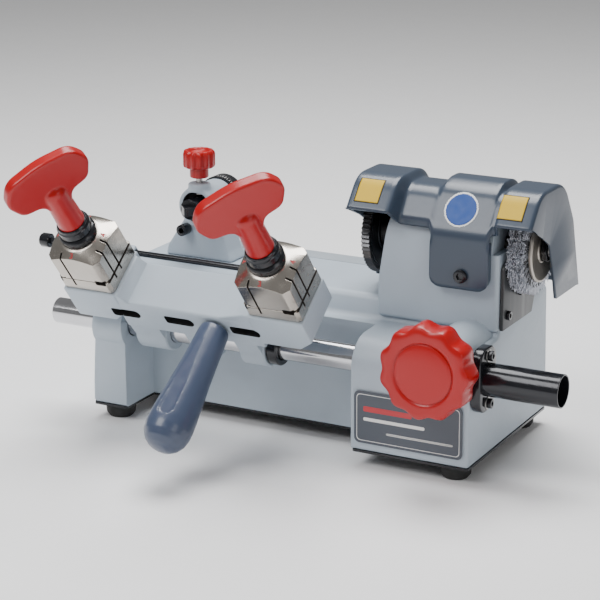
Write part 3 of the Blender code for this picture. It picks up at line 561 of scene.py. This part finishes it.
HOOD_LEFT, HOOD_RIGHT, HOOD_SHEET, HOOD_EDGE = 47.0, 190.0, 1.8, 2.6
TONGUE_LEFT, TONGUE_RIGHT, TONGUE_FRONT, TONGUE_FOOT, TONGUE_CORNER = 110.3, 155.4, 39.6, 131.0, 8.0
CROWN = [(96.0, 204.5, 28), (117.5, 172.0, 20), (133.5, 119.5, 0)]
BULGE = [(31.5, 182.5, 0), (50.0, 204.5, 22)] + CROWN
BRIDGE = [(43.5, 172.0, 0), (43.5, 178.5, 4), (58.0, 199.0, 18), (91.0, 199.0, 22),
          (113.0, 170.0, 20), (129.0, 119.5, 0)]
MIDDLE = [(39.6, 166.0, 0), (39.6, 172.0, 16), (58.5, 199.5, 18), (71.0, 204.5, 14)] + CROWN
PROFILE_POINTS = 72


def open_profile(corners):
    """Evenly spaced points along an open run of rounded corners."""
    closed = rounded(corners, 10)
    length = [0.0]
    for a, b in zip(closed, closed[1:]):
        length.append(length[-1] + (b - a).length)
    points = []
    for i in range(PROFILE_POINTS):
        goal = length[-1] * i / (PROFILE_POINTS - 1)
        j = max(k for k in range(len(length)) if length[k] <= goal + 1e-9)
        j = min(j, len(closed) - 2)
        t = (goal - length[j]) / (length[j + 1] - length[j])
        points.append(closed[j].lerp(closed[j + 1], t))
    return points


def smooth_step(t):
    t = max(0.0, min(1.0, t))
    return t * t * (3 - 2 * t)


PROFILES = {"bulge": open_profile(BULGE), "bridge": open_profile(BRIDGE),
            "middle": open_profile(MIDDLE)}
STATIONS = [(HOOD_LEFT, "bulge"), (80.0, "bulge"), (86.0, "bridge"), (107.0, "bridge"),
            (112.5, "middle"), (153.0, "middle"),
            (156.5, "bridge"), (158.5, "bridge"), (163.0, "bulge"), (HOOD_RIGHT, "bulge")]


def hood_profile(x):
    """The hood's outline at one place along its length."""
    for (x0, first), (x1, second) in zip(STATIONS, STATIONS[1:]):
        if x0 <= x <= x1:
            t = smooth_step((x - x0) / (x1 - x0))
            return [a.lerp(b, t) for a, b in zip(PROFILES[first], PROFILES[second])]
    raise ValueError(x)


def inset(points, by):
    """The open outline moved inwards by a distance."""
    moved = []
    for i, here in enumerate(points):
        run = points[min(i + 1, len(points) - 1)] - points[max(i - 1, 0)]
        moved.append(here + Vector((run.y, -run.x)).normalized() * by)
    return moved


def hood():
    edge = HOOD_EDGE
    xs = [HOOD_LEFT + edge * (1 - cos(pi / 2 * i / 6)) for i in range(6)]
    flat = HOOD_LEFT + edge
    xs += [flat + (80 - flat) * i / 10 for i in range(11)]
    for low, high, count in ((80, 86, 10), (86, 107, 8), (107, 112.5, 10), (112.5, 153, 14),
                             (153, 156.5, 8),
                             (156.5, 158.5, 2), (158.5, 163, 8), (163, HOOD_RIGHT - edge, 9)):
        xs += [low + (high - low) * (i + 1) / count for i in range(count)]
    xs += [HOOD_RIGHT - edge * (1 - cos(pi / 2 * i / 6)) for i in range(5, -1, -1)]
    rows = []
    for x in xs:
        near = min(x - HOOD_LEFT, HOOD_RIGHT - x, edge)
        drop = edge * (1 - (1 - (1 - near / edge) ** 2) ** 0.5)
        rows.append([(x, p.x, p.y) for p in inset(hood_profile(x), drop)])
    bm = bmesh.new()
    made = [[bm.verts.new(Vector(p) * MM) for p in row] for row in rows]
    for first, second in zip(made, made[1:]):
        for i in range(len(first) - 1):
            bm.faces.new((first[i], first[i + 1], second[i + 1], second[i]))
    strips = []
    for x, row in zip(xs, made):
        if not TONGUE_LEFT - 0.01 <= x <= TONGUE_RIGHT + 0.01:
            continue
        into = max(0.0, TONGUE_CORNER - min(x - TONGUE_LEFT, TONGUE_RIGHT - x))
        foot = TONGUE_FOOT + TONGUE_CORNER - (TONGUE_CORNER ** 2 - into ** 2) ** 0.5
        top = row[0].co / MM
        strip = [row[0]]
        for i in range(1, 13):
            t = i / 12
            y = TONGUE_FRONT + (top.y - TONGUE_FRONT) * (1 - smooth_step(t * 4))
            strip.append(bm.verts.new(Vector((x, y, top.z + (foot - top.z) * t)) * MM))
        strips.append(strip)
    for first, second in zip(strips, strips[1:]):
        for i in range(12):
            bm.faces.new((first[i], second[i], second[i + 1], first[i + 1]))
    under = rounded([(126.0, 119.5, 0), (88.0, 119.5, 0), (85.0, 119.5, 2), (77.0, 146.0, 8),
                     (69.5, 163.5, 8),
                     (55.0, 172.0, 8), (34.0, 181.5, 0)], 5)
    for x, row in ((HOOD_LEFT, made[0]), (HOOD_RIGHT, made[-1])):
        rim = row + [bm.verts.new(Vector((x, p.x, p.y)) * MM) for p in under]
        loops = [rim]
        if x == HOOD_LEFT:
            window = rectangle(70.0, 143.0, 96.0, 169.0, 12.9, 8)
            loops.append([bm.verts.new(Vector((x, p.x, p.y)) * MM) for p in window])
        edges = []
        for loop in loops:
            for a, b in zip(loop, loop[1:] + loop[:1]):
                edges.append(bm.edges.get((a, b)) or bm.edges.new((a, b)))
        bmesh.ops.triangle_fill(bm, use_beauty=True, edges=edges)
    bmesh.ops.remove_doubles(bm, verts=bm.verts, dist=0.00001)
    shell = from_bmesh("hood_shell", bm, HOOD_PAINT, WORLD, 50)
    solid = shell.modifiers.new("solid", "SOLIDIFY")
    solid.thickness = HOOD_SHEET * MM
    solid.offset = -1
    settle(shell, "base", "hood_paint", "hood")
    backing = prism("hood_tongue", rounded([(110.9, 131.6, 8), (154.8, 131.6, 8), (154.8, 166.0, 0),
                                            (110.9, 166.0, 0)], 10),
                    -46.6, -41.2, HOOD_PAINT, at(0, 0, 0, FACING_FRONT))
    settle(backing, "base", "hood_paint")
    screw = socket_screw("hood_front_screw", at(135, 39.5, 141, FACING_FRONT), 5.0, 2.6, "base")
    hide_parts("hood_screw")


def hood_patch(name, x_low, x_high, start, end, mat, lift, corner=0.0, columns=24, rows=24,
               shape=None):
    """A sticker lying on the hood between two places along its outline."""
    points = []
    bm = bmesh.new()
    for i in range(columns + 1):
        x = x_low + (x_high - x_low) * i / columns
        outline = inset(hood_profile(x), -lift)
        row = []
        for j in range(rows + 1):
            s = (start + (end - start) * j / rows) * (PROFILE_POINTS - 1)
            k = min(int(s), PROFILE_POINTS - 2)
            p = outline[k].lerp(outline[k + 1], s - k)
            row.append((x, p.x, p.y))
        points.append(row)
    made = [[bm.verts.new(Vector(p) * MM) for p in row] for row in points]
    for i in range(columns):
        for j in range(rows):
            u, v = (i + 0.5) / columns * 2 - 1, (j + 0.5) / rows * 2 - 1
            if shape is None or shape(u, v):
                bm.faces.new((made[i][j], made[i][j + 1], made[i + 1][j + 1], made[i + 1][j]))
    bmesh.ops.delete(bm, geom=[v for v in bm.verts if not v.link_faces], context="VERTS")
    obj = from_bmesh(name, bm, mat, WORLD, 50)
    solid = obj.modifiers.new("solid", "SOLIDIFY")
    solid.thickness = 0.0001
    solid.offset = 1
    return settle(obj, "base", "hood_paint")


def stickers():
    """Plain coloured panels where the machine has its notices."""
    for side, left, right in (("left", 52.0, 71.5), ("right", 161.8, 181.8)):
        hood_patch("sticker_edge_" + side, left, right, 0.035, 0.158, CUT_SHADE_AND_PRINTED_EDGE, 0.08)
        hood_patch("sticker_" + side, left + 0.7, right - 0.7, 0.039, 0.154, YELLOW, 0.16)
    disc = {"columns": 48, "rows": 48, "shape": lambda u, v: u * u + v * v < 1}
    hood_patch("sticker_round_rim", 117.2, 142.8, 0.06, 0.218, WHITE, 0.1, **disc)
    hood_patch("sticker_round", 118.5, 141.5, 0.068, 0.21, BLUE_PRINT, 0.2, **disc)


# ---------------------------------------------------------------- cutter and brush


def cutter():
    count, tip, root = 60, 32.4, 30.6
    outline = []
    for tooth in range(count):
        angle = 2 * pi * tooth / count
        outline.append((tip * cos(angle), tip * sin(angle)))
        turn = angle + 0.28 * 2 * pi / count
        outline.append((root * cos(turn), root * sin(turn)))
    wheel = prism("toothed_cutter", outline, 50.5, 57.0, DARK_STEEL, SPINDLE)
    cut(wheel, cylinder("bore", 5.3, 40, 70, place=SPINDLE),
        tube("dish", 14.0, 24.0, 49.0, 51.2, place=SPINDLE),
        tube("dish", 15.0, 24.0, 56.3, 60.0, place=SPINDLE))
    settle(wheel, "spindle_set", "dark_steel", "cutter")


def brush():
    dice = random.Random(11)
    bm = bmesh.new()
    wires, inner, outer, low, high = 3000, 22.0, 33.8, 164.8, 177.4
    golden_turn, crimps, width, steps = 0.61803398875, 13.0, 0.27, 6
    for i in range(wires):
        angle = 2 * pi * (i * golden_turn % 1.0)
        x = low + (high - low) * dice.random()
        reach = outer - 2.2 * dice.random() ** 2
        drift = (dice.random() - 0.5) * 0.12
        sway = (dice.random() - 0.5) * 2.4
        phase = dice.random() * 2 * pi
        wave = 0.45 + 0.35 * dice.random()
        rings = []
        for step in range(steps + 1):
            t = step / steps
            r = inner + (reach - inner) * t
            crimp = wave * sin(phase + t * crimps)
            a = angle + drift * t + crimp / r
            here = Vector((x + sway * t * t + crimp * 0.6 * cos(phase), 0, 0))
            here.x = max(low - 0.4, min(high + 0.3, here.x))
            axis = Vector((0, cos(a), sin(a)))
            side = Vector((0, -sin(a), cos(a)))
            rings.append([bm.verts.new((here + axis * r + Vector((width * cos(q), 0,
                                                                  0)) + side * width * sin(q)) * MM)
                          for q in (0.0, 2.1, 4.2)])
        for first, second in zip(rings, rings[1:]):
            for q in range(3):
                bm.faces.new((first[q], first[(q + 1) % 3], second[(q + 1) % 3], second[q]))
        bm.faces.new(rings[-1])
    bristles = from_bmesh("brush_wires", bm, WIRE, at(0, 83.0, 156.0), 80)
    settle(bristles, "spindle_set", "steel_wire", "brush_bristles")
    # Painted shade: a dark tube inside the wires stands for the shade between the packed wire roots.
    core = tube("brush_core", 16.8, 28.5, 166.0, 177.0, WIRE_ROOTS_SHADE, SPINDLE)
    settle(core, "spindle_set", "steel_wire")
    profile = [(5.3, 180.3), (9, 180.3), (10, 179.4), (16, 179.0), (22.6, 180.4), (24, 179.6),
               (24, 177.9), (16.5, 177.8),
               (16.5, 165.2), (24, 165.1), (24, 164.2), (23.4, 163.8), (5.3, 163.8)]
    settle(lathe("brush_hub", profile, DISC, SPINDLE, closed=True), "spindle_set", "brush_disc",
           "brush_disc")


def spindle_parts():
    nut = prism("cutter_lock_nut", polygon(6, 10), 46.0, 50.2,
                DARK_STEEL, SPINDLE, 0.7, 2)
    settle(nut, "spindle_set", "dark_steel", "cutter_nut")
    other = prism("brush_lock_nut", polygon(6, 9), 180.8, 185.4,
                  BLACK_METAL, SPINDLE, 0.7, 2)
    settle(other, "spindle_set", "dark_steel", "brush_nut")
    rod = lathe("spindle_rod", [(0, 45.2), (4.2, 45.2), (4.9, 46), (4.9, 185.6), (4.2, 186.4),
                                (0, 186.4)], STEEL, SPINDLE)
    settle(rod, "spindle_set", "dark_steel", "spindle")
    ring = tube("cutter_spacer", 5.3, 14.0, 57.3, 64.0, DARK_STEEL, SPINDLE)
    settle(ring, "spindle_set", "dark_steel", "cutter_collar")


def side_plate():
    place = shifted(SIDE, z=HOUSING_RIGHT + GAP)
    outline = rounded([(50, 101, 1), (106, 101, 1), (113, 118, 1), (113, 150, 6), (50, 150, 6)])
    plate = prism("brush_guard_plate", outline, 0, 2.5, PLATE, place, 0.5, 2)
    cut(plate, cylinder("hole", 14.5, -5, 10, place=shifted(SPINDLE, z=HOUSING_RIGHT)))
    settle(plate, "base", "dark_steel", "side_plate")
    for i, (y, z) in enumerate(((58, 111), (80, 124))):
        socket_screw(f"guard_screw_{i}", at(HOUSING_RIGHT + 2.8, y, z, ALONG_X), 3.4, 2.6, "base")


# ---------------------------------------------------------------- shaft, tube and front knob


def shaft_parts():
    rod = lathe("ground_shaft", [(0, -190.9), (9.2, -190.9), (9.95, -190.1), (9.95, 177.2),
                                 (9.2, 177.9), (0, 177.9)],
                POLISHED, SHAFT, 96)
    settle(rod, "shaft", "polished_steel", "carriage_shaft")
    collar = tube("shaft_stop_ring", 10.2, 14.5, -0.5, 7.5, BLACK_METAL, SHAFT, edge=0.8)
    settle(collar, "shaft", "black_metal", "stop_collar")
    pipe = tube("guide_tube", 10.9, 12.0, 166.5, 224.6, BLACK_METAL, SHAFT, edge=0.25)
    settle(pipe, "base", "black_metal", "shaft_tube")
    place = shifted(SHAFT, z=HOUSING_RIGHT + GAP)
    outline = rectangle(-14.5, -23.5, 14.5, 23.5, 11, 10)
    flange = prism("tube_mount", outline, 0, 7.5, BLACK_METAL, place, 1.1, 3)
    cut(flange, cylinder("bore", 10.9, -5, 20, place=place))
    settle(flange, "base", "black_metal", "tube_flange")
    for side, reach in (("upper", 17.5), ("lower", -17.5)):
        screw = socket_screw("mount_screw_" + side, shifted(place, y=reach, z=7.6), 3.6, 3.6,
                             "base")
        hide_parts("flange_screw_" + side)
        washer = tube("mount_washer_" + side, 1.9, 4.6, 7.4, 8.0, STEEL, shifted(place, y=reach),
                      edge=0.15)
        settle(washer, "base", "polished_steel")


def front_knob():
    profile = [(0, 19.0), (26.0, 19.0), (27.2, 18.2), (27.6, 15.4), (28.4, 15.0), (30.8, 15.0, 0.7),
               (32.3, 15.7, 1.1),
               (33.2, 17.4, 1.4), (33.3, 24.0, 1.4), (33.1, 31.6, 1.4), (32.3, 33.7, 1.2),
               (30.6, 34.8, 0.9),
               (28.0, 35.2, 0.4), (24.2, 35.1), (23.0, 34.9), (22.4, 34.4), (21.9, 34.0), (0, 34.0)]
    knob = lathe("lobed_feed_knob", profile, RED, KNOB, 352, lobes=11)
    settle(knob, "feed_knob", "red_plastic", "front_knob")
    profile = [(0, 36.4), (8, 36.3), (14, 35.9), (18.6, 35.3), (20.6, 34.9), (21.4, 34.5),
               (21.5, 34.1), (0, 34.1)]
    settle(lathe("feed_knob_button", profile, RED, KNOB, 96), "feed_knob", "red_plastic",
           "front_knob_cap")


# ---------------------------------------------------------------- carriage


def carriage():
    section = rounded([(-18.0, 24.0, 1), (-11.0, 24.0, 0), (-11.0, 44.0, 3), (20.4, 47.5, 0),
                       (20.4, 53.8, 1.5),
                       (-18.0, 53.8, 2.5)], 5)
    body = prism("carriage_skin", section, -108.0, 8.0, CASTING, CARRIAGE_SIDE)
    parts = []
    for name, x in CLAMP_X.items():
        outline = rounded([(x - 22.5, 29.0, 2), (x + 10.5, 29.0, 0), (x + 22.5, 39.0, 0),
                           (x + 22.5, 62.0, 1.5),
                           (x - 22.5, 62.0, 1.5)], 4)
        parts.append(prism("block_" + name, outline, -24.0, 18.3, place=CARRIAGE_FRONT,
                           rounding=1.5, segments=3))
    for i, (left, right) in enumerate(((-111.0, -84.0), (-64.0, -46.0), (-22.0, -1.2))):
        web = [(-14.0, 0.0), (14.0, 0.0), (10.0, 46.0), (-17.0, 46.0)]
        parts.append(prism(f"web_{i}", web, left + 1, right - 1, place=CARRIAGE_SIDE))
        parts.append(cylinder(f"hub_{i}", 16.5, left, right, place=CARRIAGE_SIDE, edge=1.0))
    ramp = [(-26.0, 52.0), (7.0, 52.0), (7.0, 61.5), (1.0, 61.5)]
    parts.append(prism("ramp", ramp, -20.0, 17.6, place=CARRIAGE_FRONT, rounding=1.0))
    wall = [(-107.0, 52.0), (-96.0, 52.0), (-103.5, 61.8), (-107.0, 61.8)]
    parts.append(prism("wall", wall, -20.0, 17.6, place=CARRIAGE_FRONT, rounding=1.0))
    for i, x in enumerate((-118.0, 14.0)):
        lug = [(18.5, 45.0), (34.5, 45.0), (34.5, 54.0), (18.5, 54.0)]
        parts.append(prism(f"lug_{i}", lug, x - 4, x + 4, place=CARRIAGE_SIDE, rounding=2.0))
    fuse(body, *parts)
    slots = []
    for i, x in enumerate((-103.5, -58.0, -3.0)):
        slot = rounded([(x - 12, 36.5, 2), (x + 12, 36.5, 4.2), (x + 12, 45.2, 4.2),
                        (x - 12, 45.2, 2)])
        slots.append(prism(f"slot_{i}", slot, 3.0, 25.0, place=CARRIAGE_FRONT))
    carve(body, INSIDE, *slots)
    bore = cylinder("carriage_bore", 10.3, -200, 100, place=CARRIAGE_SIDE)
    cut(body, bore, cylinder("gauge_bore", 2.7, -200, 100, place=GAUGE))
    settle(body, "carriage", "casting_paint", "carriage_casting")


def lever():
    profile = [(0, 105)]
    curve = [(5, 104.6), (9.5, 103.0), (13.2, 99.8), (15.9, 95.2), (17.1, 89.5), (17.2, 84.0),
             (16.7, 76), (15.8, 66),
             (14.9, 56), (14.0, 46), (13.2, 36), (12.5, 25), (11.9, 14), (11.4, 6), (10.9, 2.6),
             (9.5, 1.5), (0, 1.5)]
    grip = lathe("lever_handle", profile + curve, BLUE_GRIP, LEVER, 64)
    facing = shifted(LEVER, y=15.6) @ axes((-1, 0, 0), (0, 0, 1), (0, 1, 0))
    outline = rounded([(-4.6, 17, 4.3), (4.6, 17, 4.3), (6.2, 85, 5.9), (-6.2, 85, 5.9)], 8)
    recess = prism("recess", outline, -4.4, 12, place=facing @ Matrix.Rotation(radians(2.4), 4,
                                                                               "X"))
    cut(grip, recess)
    soften(grip, 0.8, 3, 0.5)
    settle(in_world(grip), "carriage", "blue_grip", "lever_grip")
    ring = tube("lever_ferrule", 5.4, 7.6, 0.2, 1.6, POLISHED, LEVER, edge=0.3)
    settle(ring, "carriage", "polished_steel")


def jaw_slots(base):
    """Saw cuts five millimetres deep in the front and right faces, through both jaws."""
    return [
        box("slot", (17.2, -10.4, 68.6), (24, -8.8, 110), place=base),
        box("slot", (17.2, -1.8, 68.6), (24, -0.2, 110), place=base),
        box("slot", (-9.4, -24, 67.4), (-7.8, -16.0, 110), place=base),
        box("slot", (-24, 6.0, 68.6), (-17.2, 7.6, 110), place=base),
    ]


def clamp(name):
    x = CLAMP_X[name]
    base = shifted(CARRIAGE, x, 3.5)
    lower = prism("lower_jaw_block_" + name, jaw_outline(2.5), 62.3, 74.2, NICKEL, base, 0.9)
    notches = [box("notch", (10.5, -24, 71.6), (19.5, -16.5, 80), place=base, rounding=1.4),
               box("notch", (-20.0, -24, 70.6), (-18.2, -16.5, 80), place=base),
               box("rebate", (20.9, -24, 73.2), (24, 24, 80), place=base)]
    # The walls of the saw cuts, notches and rebate get painted shade.
    carve(lower, CUT_SHADE_AND_PRINTED_EDGE, *jaw_slots(base), *notches)
    settle(lower, "carriage", "nickel_steel", "lower_jaw_" + name)
    upper_jaw(name, base)
    body = "handle_" + name
    foot = shifted(base, z=110.9)
    ring = lathe("clamp_ring_" + name, [(4.4, 104.1), (13.0, 104.1), (14.0, 105.0), (14.0, 108.6),
                                        (13.2, 109.6),
                                        (12.2, 110.4), (4.4, 110.4)], BLACK_METAL, base,
                 closed=True)
    settle(ring, "lift_" + name, "black_metal", "clamp_washer_" + name)
    stem = lathe("stem", [(0, -0.001), (10.2, -0.001), (10.2, 9), (9.8, 20), (9.4, 34), (9.4, 43),
                          (8.4, 46), (5.5, 48.4),
                          (0, 49.4)], RED, foot)
    half = [(9.0, 30, 3), (12, 38, 8), (27, 40.5, 9), (34.1, 56, 11), (26, 70.7, 14)]
    outline = rounded([(-a, b, r) for a, b, r in half] + [(0, 74.6, 60)] + half[::-1], 8)
    turn = HANDLE_TURN[name]
    upright = axes((cos(turn), sin(turn), 0), (0, 0, 1), (sin(turn), -cos(turn), 0))
    bar = prism("bar", outline, -4.9, 4.9, place=foot @ upright, rounding=1.8, segments=4)
    handle = fuse(stem, bar)
    handle.name = "t_handle_" + name
    soften(handle, 0.7, 5, 0.5)
    settle(in_world(handle), body, "red_plastic", "clamp_handle_" + name)
    collar = lathe("handle_collar_" + name, [(4.4, 0), (12.0, 0), (12.6, 0.7), (12.6, 5.6),
                                             (11.9, 6.4), (11.6, 7.0),
                                             (11.6, 8.2), (11.0, 8.9), (4.4, 8.9)], BLACK_METAL,
                   foot, closed=True)
    settle(collar, body, "black_metal")


def jaw_outline(corner):
    half_x, half_y = 22.0, 20.5
    return [(half_x, -half_y + corner), (half_x, half_y - corner), (half_x - corner, half_y),
            (-half_x + corner, half_y),
            (-half_x, half_y - corner), (-half_x, -half_y + corner), (-half_x + corner, -half_y),
            (half_x - corner, -half_y)]


def upper_jaw(name, base):
    """The upper jaw: straight sides, cut corners, and a top turned to a shallow cone."""
    jaw = prism("upper_jaw_block_" + name, jaw_outline(4.2), 74.6, 106.0, NICKEL, base)
    cone = lathe("cone", [(0, 70.0), (40.0, 70.0), (40.0, 90.0), (26.0, 96.9), (16.0, 102.9),
                          (14.4, 103.7), (0, 103.7)],
                 place=base, sides=96)
    boolean(jaw, [cone], "INTERSECT")
    bevel(jaw, 0.7, 3, 30)
    baked(jaw)
    cutters = [box("rebate", (20.9, -24, 70), (24, 24, 75.6), place=base),
               box("rebate", (-24, -24, 70), (24, -20.0, 75.1), place=base),
               box("notch", (10.5, -24, 70), (19.5, -16.5, 76.6), place=base, rounding=1.4),
               box("notch", (-20.0, -24, 70), (-14.2, -16.5, 76.0), place=base),
               box("key_way", (-24, -24, 74), (-21.0, -12, 80.5), place=base)]
    # The walls of the saw cuts, rebates, notches and key way get painted shade.
    carve(jaw, CUT_SHADE_AND_PRINTED_EDGE, *jaw_slots(base), *cutters)
    settle(jaw, "lift_" + name, "nickel_steel", "upper_jaw_" + name)
    for digit, turn in (("3", -87.0), ("4", 12.0), ("1", 93.0), ("2", 184.0)):
        around = Matrix.Rotation(radians(turn + 90), 4, "Z")
        outward = Matrix.Translation((0, -18.2 * MM, 0))
        lean = Matrix.Rotation(radians(31), 4, "X")
        place = shifted(base, z=101.55) @ around @ outward @ lean
        curve = bpy.data.curves.new("digit", "FONT")
        curve.body = digit
        curve.size = 5.6 * MM
        curve.align_x = curve.align_y = "CENTER"
        curve.extrude = 0.00008
        curve.offset = 0.00018
        text = bpy.data.objects.new(f"station_{digit}_{name}", curve)
        link(text, place, RED_PRINT)
        settle(text, "lift_" + name, "nickel_steel")


def gauge():
    rod = cylinder("gauge_bar", 2.3, -192.9, 36.0, BLACK_METAL, GAUGE, 32, 0.4)
    settle(rod, "gauge", "black_metal", "gauge_rod")
    knob = lathe("gauge_end_knob", [(2.6, -190.1), (4.8, -190.1), (5.5, -190.8), (5.5, -197.2),
                                    (4.6, -198.6), (0, -198.9),
                                    (0, -195)], BLACK_METAL, GAUGE)
    settle(knob, "gauge", "black_metal", "gauge_knob")


# ---------------------------------------------------------------- tracer


def tracer():
    pillar = rounded([(-134, 113.2, 0), (-74, 113.2, 0), (-78, 121, 4), (-87, 150, 0),
                      (-113, 150, 0), (-132, 121, 4)])
    bracket = prism("tracer_support", pillar, -103.6, -80.4, CASTING, at(0, 0, 0, FACING_FRONT),
                    1.5, 3)
    fuse(bracket, cylinder("barrel", 15.6, -104.5, -70.1, place=TRACER, sides=64, edge=1.0),
         cylinder("boss", 8.6, 165.0, 175.2, place=LOCK, edge=0.8))
    soften(bracket, 0.8, 4, 0.4)
    carve(bracket, INSIDE, cylinder("bore", 8.5, -130, -60, place=TRACER),
          cylinder("mouth", 12.0, -78.0, -60.0, place=TRACER))
    settle(bracket, "base", "casting_paint", "tracer_bracket")
    rod = lathe("tracer_point", [(0, -118.8), (7.4, -118.8), (8.0, -118.2), (8.0, -60.5),
                                 (7.4, -59.8), (0, -59.8)],
                BLACK_METAL, TRACER)
    settle(prism("tracer_blade", rounded([(-7.4, -60.4, 0), (7.4, -60.4, 0), (2.2, -52.0, 0.6),
                                          (0.4, -52.0, 0.6)], 3),
                 -3.3, 3.3, BLACK_METAL, TRACER @ axes((1, 0, 0), (0, 0, 1), (0, -1, 0)), 0.3, 2),
           "tracer", "black_metal")
    settle(rod, "tracer", "black_metal", "tracer_rod")
    profile = [(8.4, -104.9), (16.4, -104.9), (17.0, -105.5), (17.0, -108.8), (16.5, -109.1),
               (16.5, -109.7),
               (17.0, -110.0), (17.0, -116.2), (16.2, -117.0), (8.4, -117.0)]
    settle(lathe("graduated_ring", profile, BLACK_METAL, TRACER, 96, closed=True), "adjusting_ring",
           "black_metal",
           "tracer_ring")
    bm = bmesh.new()
    for i in range(50):
        turn = Matrix.Rotation(2 * pi * i / 50, 4, "Z")
        length = 3.6 if i % 5 == 0 else 2.2
        corners = ((17.03, -0.16, -105.6), (17.03, 0.16, -105.6), (17.03, 0.16, -105.6 - length),
                   (17.03, -0.16, -105.6 - length))
        bm.faces.new([bm.verts.new(turn @ (Vector(c) * MM)) for c in corners])
    ticks = from_bmesh("ring_marks", bm, WHITE, TRACER)
    settle(ticks, "adjusting_ring", "black_metal")
    profile = [(0, 187.3), (6.5, 187.3), (10.4, 187.4, 0.2), (11.4, 188.0, 0.45),
               (11.9, 189.6, 0.55), (11.9, 198.2, 0.55),
               (11.5, 199.9, 0.5), (10.5, 200.9, 0.35), (9.3, 200.9, 0.1), (8.4, 200.2),
               (7.6, 198.9), (4.0, 198.3), (0, 198.2)]
    knob = lathe("lock_knob_top", profile, RED, LOCK, 208, lobes=13)
    profile = [(0, 179.6), (6.6, 179.6), (7.2, 180.2), (7.2, 187.4), (0, 187.4)]
    neck = lathe("lock_knob_neck", profile, RED, LOCK)
    stem = cylinder("lock_knob_stem", 2.5, 166.0, 180.0, STEEL, LOCK)
    settle(knob, "lock_knob", "red_plastic", "tracer_lock_knob")
    settle(neck, "lock_knob", "red_plastic")
    settle(stem, "lock_knob", "polished_steel")
    screw = socket_screw("support_screw", at(-114.0, 79.7, 136.4, FACING_FRONT), 4.5, 9.0, "base")
    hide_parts("bracket_screw")


# ---------------------------------------------------------------- the rest of the nodes

NODE_LOOKS = {
    "casting_paint": CASTING, "black_metal": BLACK_METAL, "black_rubber": RUBBER,
    "hood_paint": HOOD_PAINT,
    "dark_steel": DARK_STEEL, "steel_wire": WIRE, "brush_disc": DISC, "polished_steel": POLISHED,
    "motor_grey": MOTOR,
    "bush_bronze": BRONZE, "red_plastic": RED, "blue_grip": BLUE_GRIP, "nickel_steel": NICKEL,
    "label_film": LABEL,
    "black_plastic": BLACK_PLASTIC,
}


def dress_nodes():
    slots = {entry["node"]: entry["material_slot"] for entry in frame["record"]["subparts"]}
    for name, obj in frame["nodes"].items():
        obj.data.materials.clear()
        obj.data.materials.append(NODE_LOOKS[slots[name]])


# ---------------------------------------------------------------- floor, light and camera


LIGHT_AIM = Vector((0, 0, 0.1))
LIGHTS = {"key": ((-0.55, -1.0, 1.25), 0.8, 15.0), "fill": ((1.5, -0.9, 0.7), 0.8, 4.0),
          "top": ((-0.1, 0.35, 1.5), 1.0, 34.0)}
ROOM_LIGHT = 0.26
FLOOR_REACH = 3000
CAMERA_SPOT = (692.7, -1268.7, 548.1)
CAMERA_YAW, CAMERA_PITCH = radians(27.68), radians(16.68)
SENSOR, LENS = 36.0, 124.98


def stage():
    low, high = (-FLOOR_REACH, -FLOOR_REACH, -3), (FLOOR_REACH, FLOOR_REACH, 0)
    box("floor", low, high, FLOOR, Matrix.Identity(4))
    world = bpy.data.worlds.new("studio")
    bpy.context.scene.world = world
    world.use_nodes = True
    background = world.node_tree.nodes["Background"]
    background.inputs["Color"].default_value = (1.0, 1.0, 1.0, 1.0)
    background.inputs["Strength"].default_value = ROOM_LIGHT
    for name, (spot, size, power) in LIGHTS.items():
        light = bpy.data.lights.new(name, "AREA")
        light.size = size
        light.energy = power
        lamp = bpy.data.objects.new(name, light)
        bpy.context.scene.collection.objects.link(lamp)
        lamp.location = spot
        lamp.rotation_euler = (LIGHT_AIM - Vector(spot)).to_track_quat("-Z", "Y").to_euler()


def camera():
    data = bpy.data.cameras.new("camera")
    data.sensor_width = SENSOR
    data.lens = LENS
    data.clip_start = 0.05
    obj = bpy.data.objects.new("camera", data)
    bpy.context.scene.collection.objects.link(obj)
    yaw, pitch = CAMERA_YAW, CAMERA_PITCH
    back = Vector((sin(yaw) * cos(pitch), -cos(yaw) * cos(pitch), sin(pitch)))
    right = Vector((cos(yaw), sin(yaw), 0.0))
    obj.matrix_world = at(*CAMERA_SPOT, axes(right, back.cross(right), back))
    bpy.context.scene.camera = obj


camera()
stage()
dress_nodes()
base_body()
base_details()
label()
hood()
stickers()
cutter()
brush()
spindle_parts()
side_plate()
shaft_parts()
front_knob()
carriage()
lever()
for side in CLAMP_X:
    clamp(side)
gauge()
tracer()
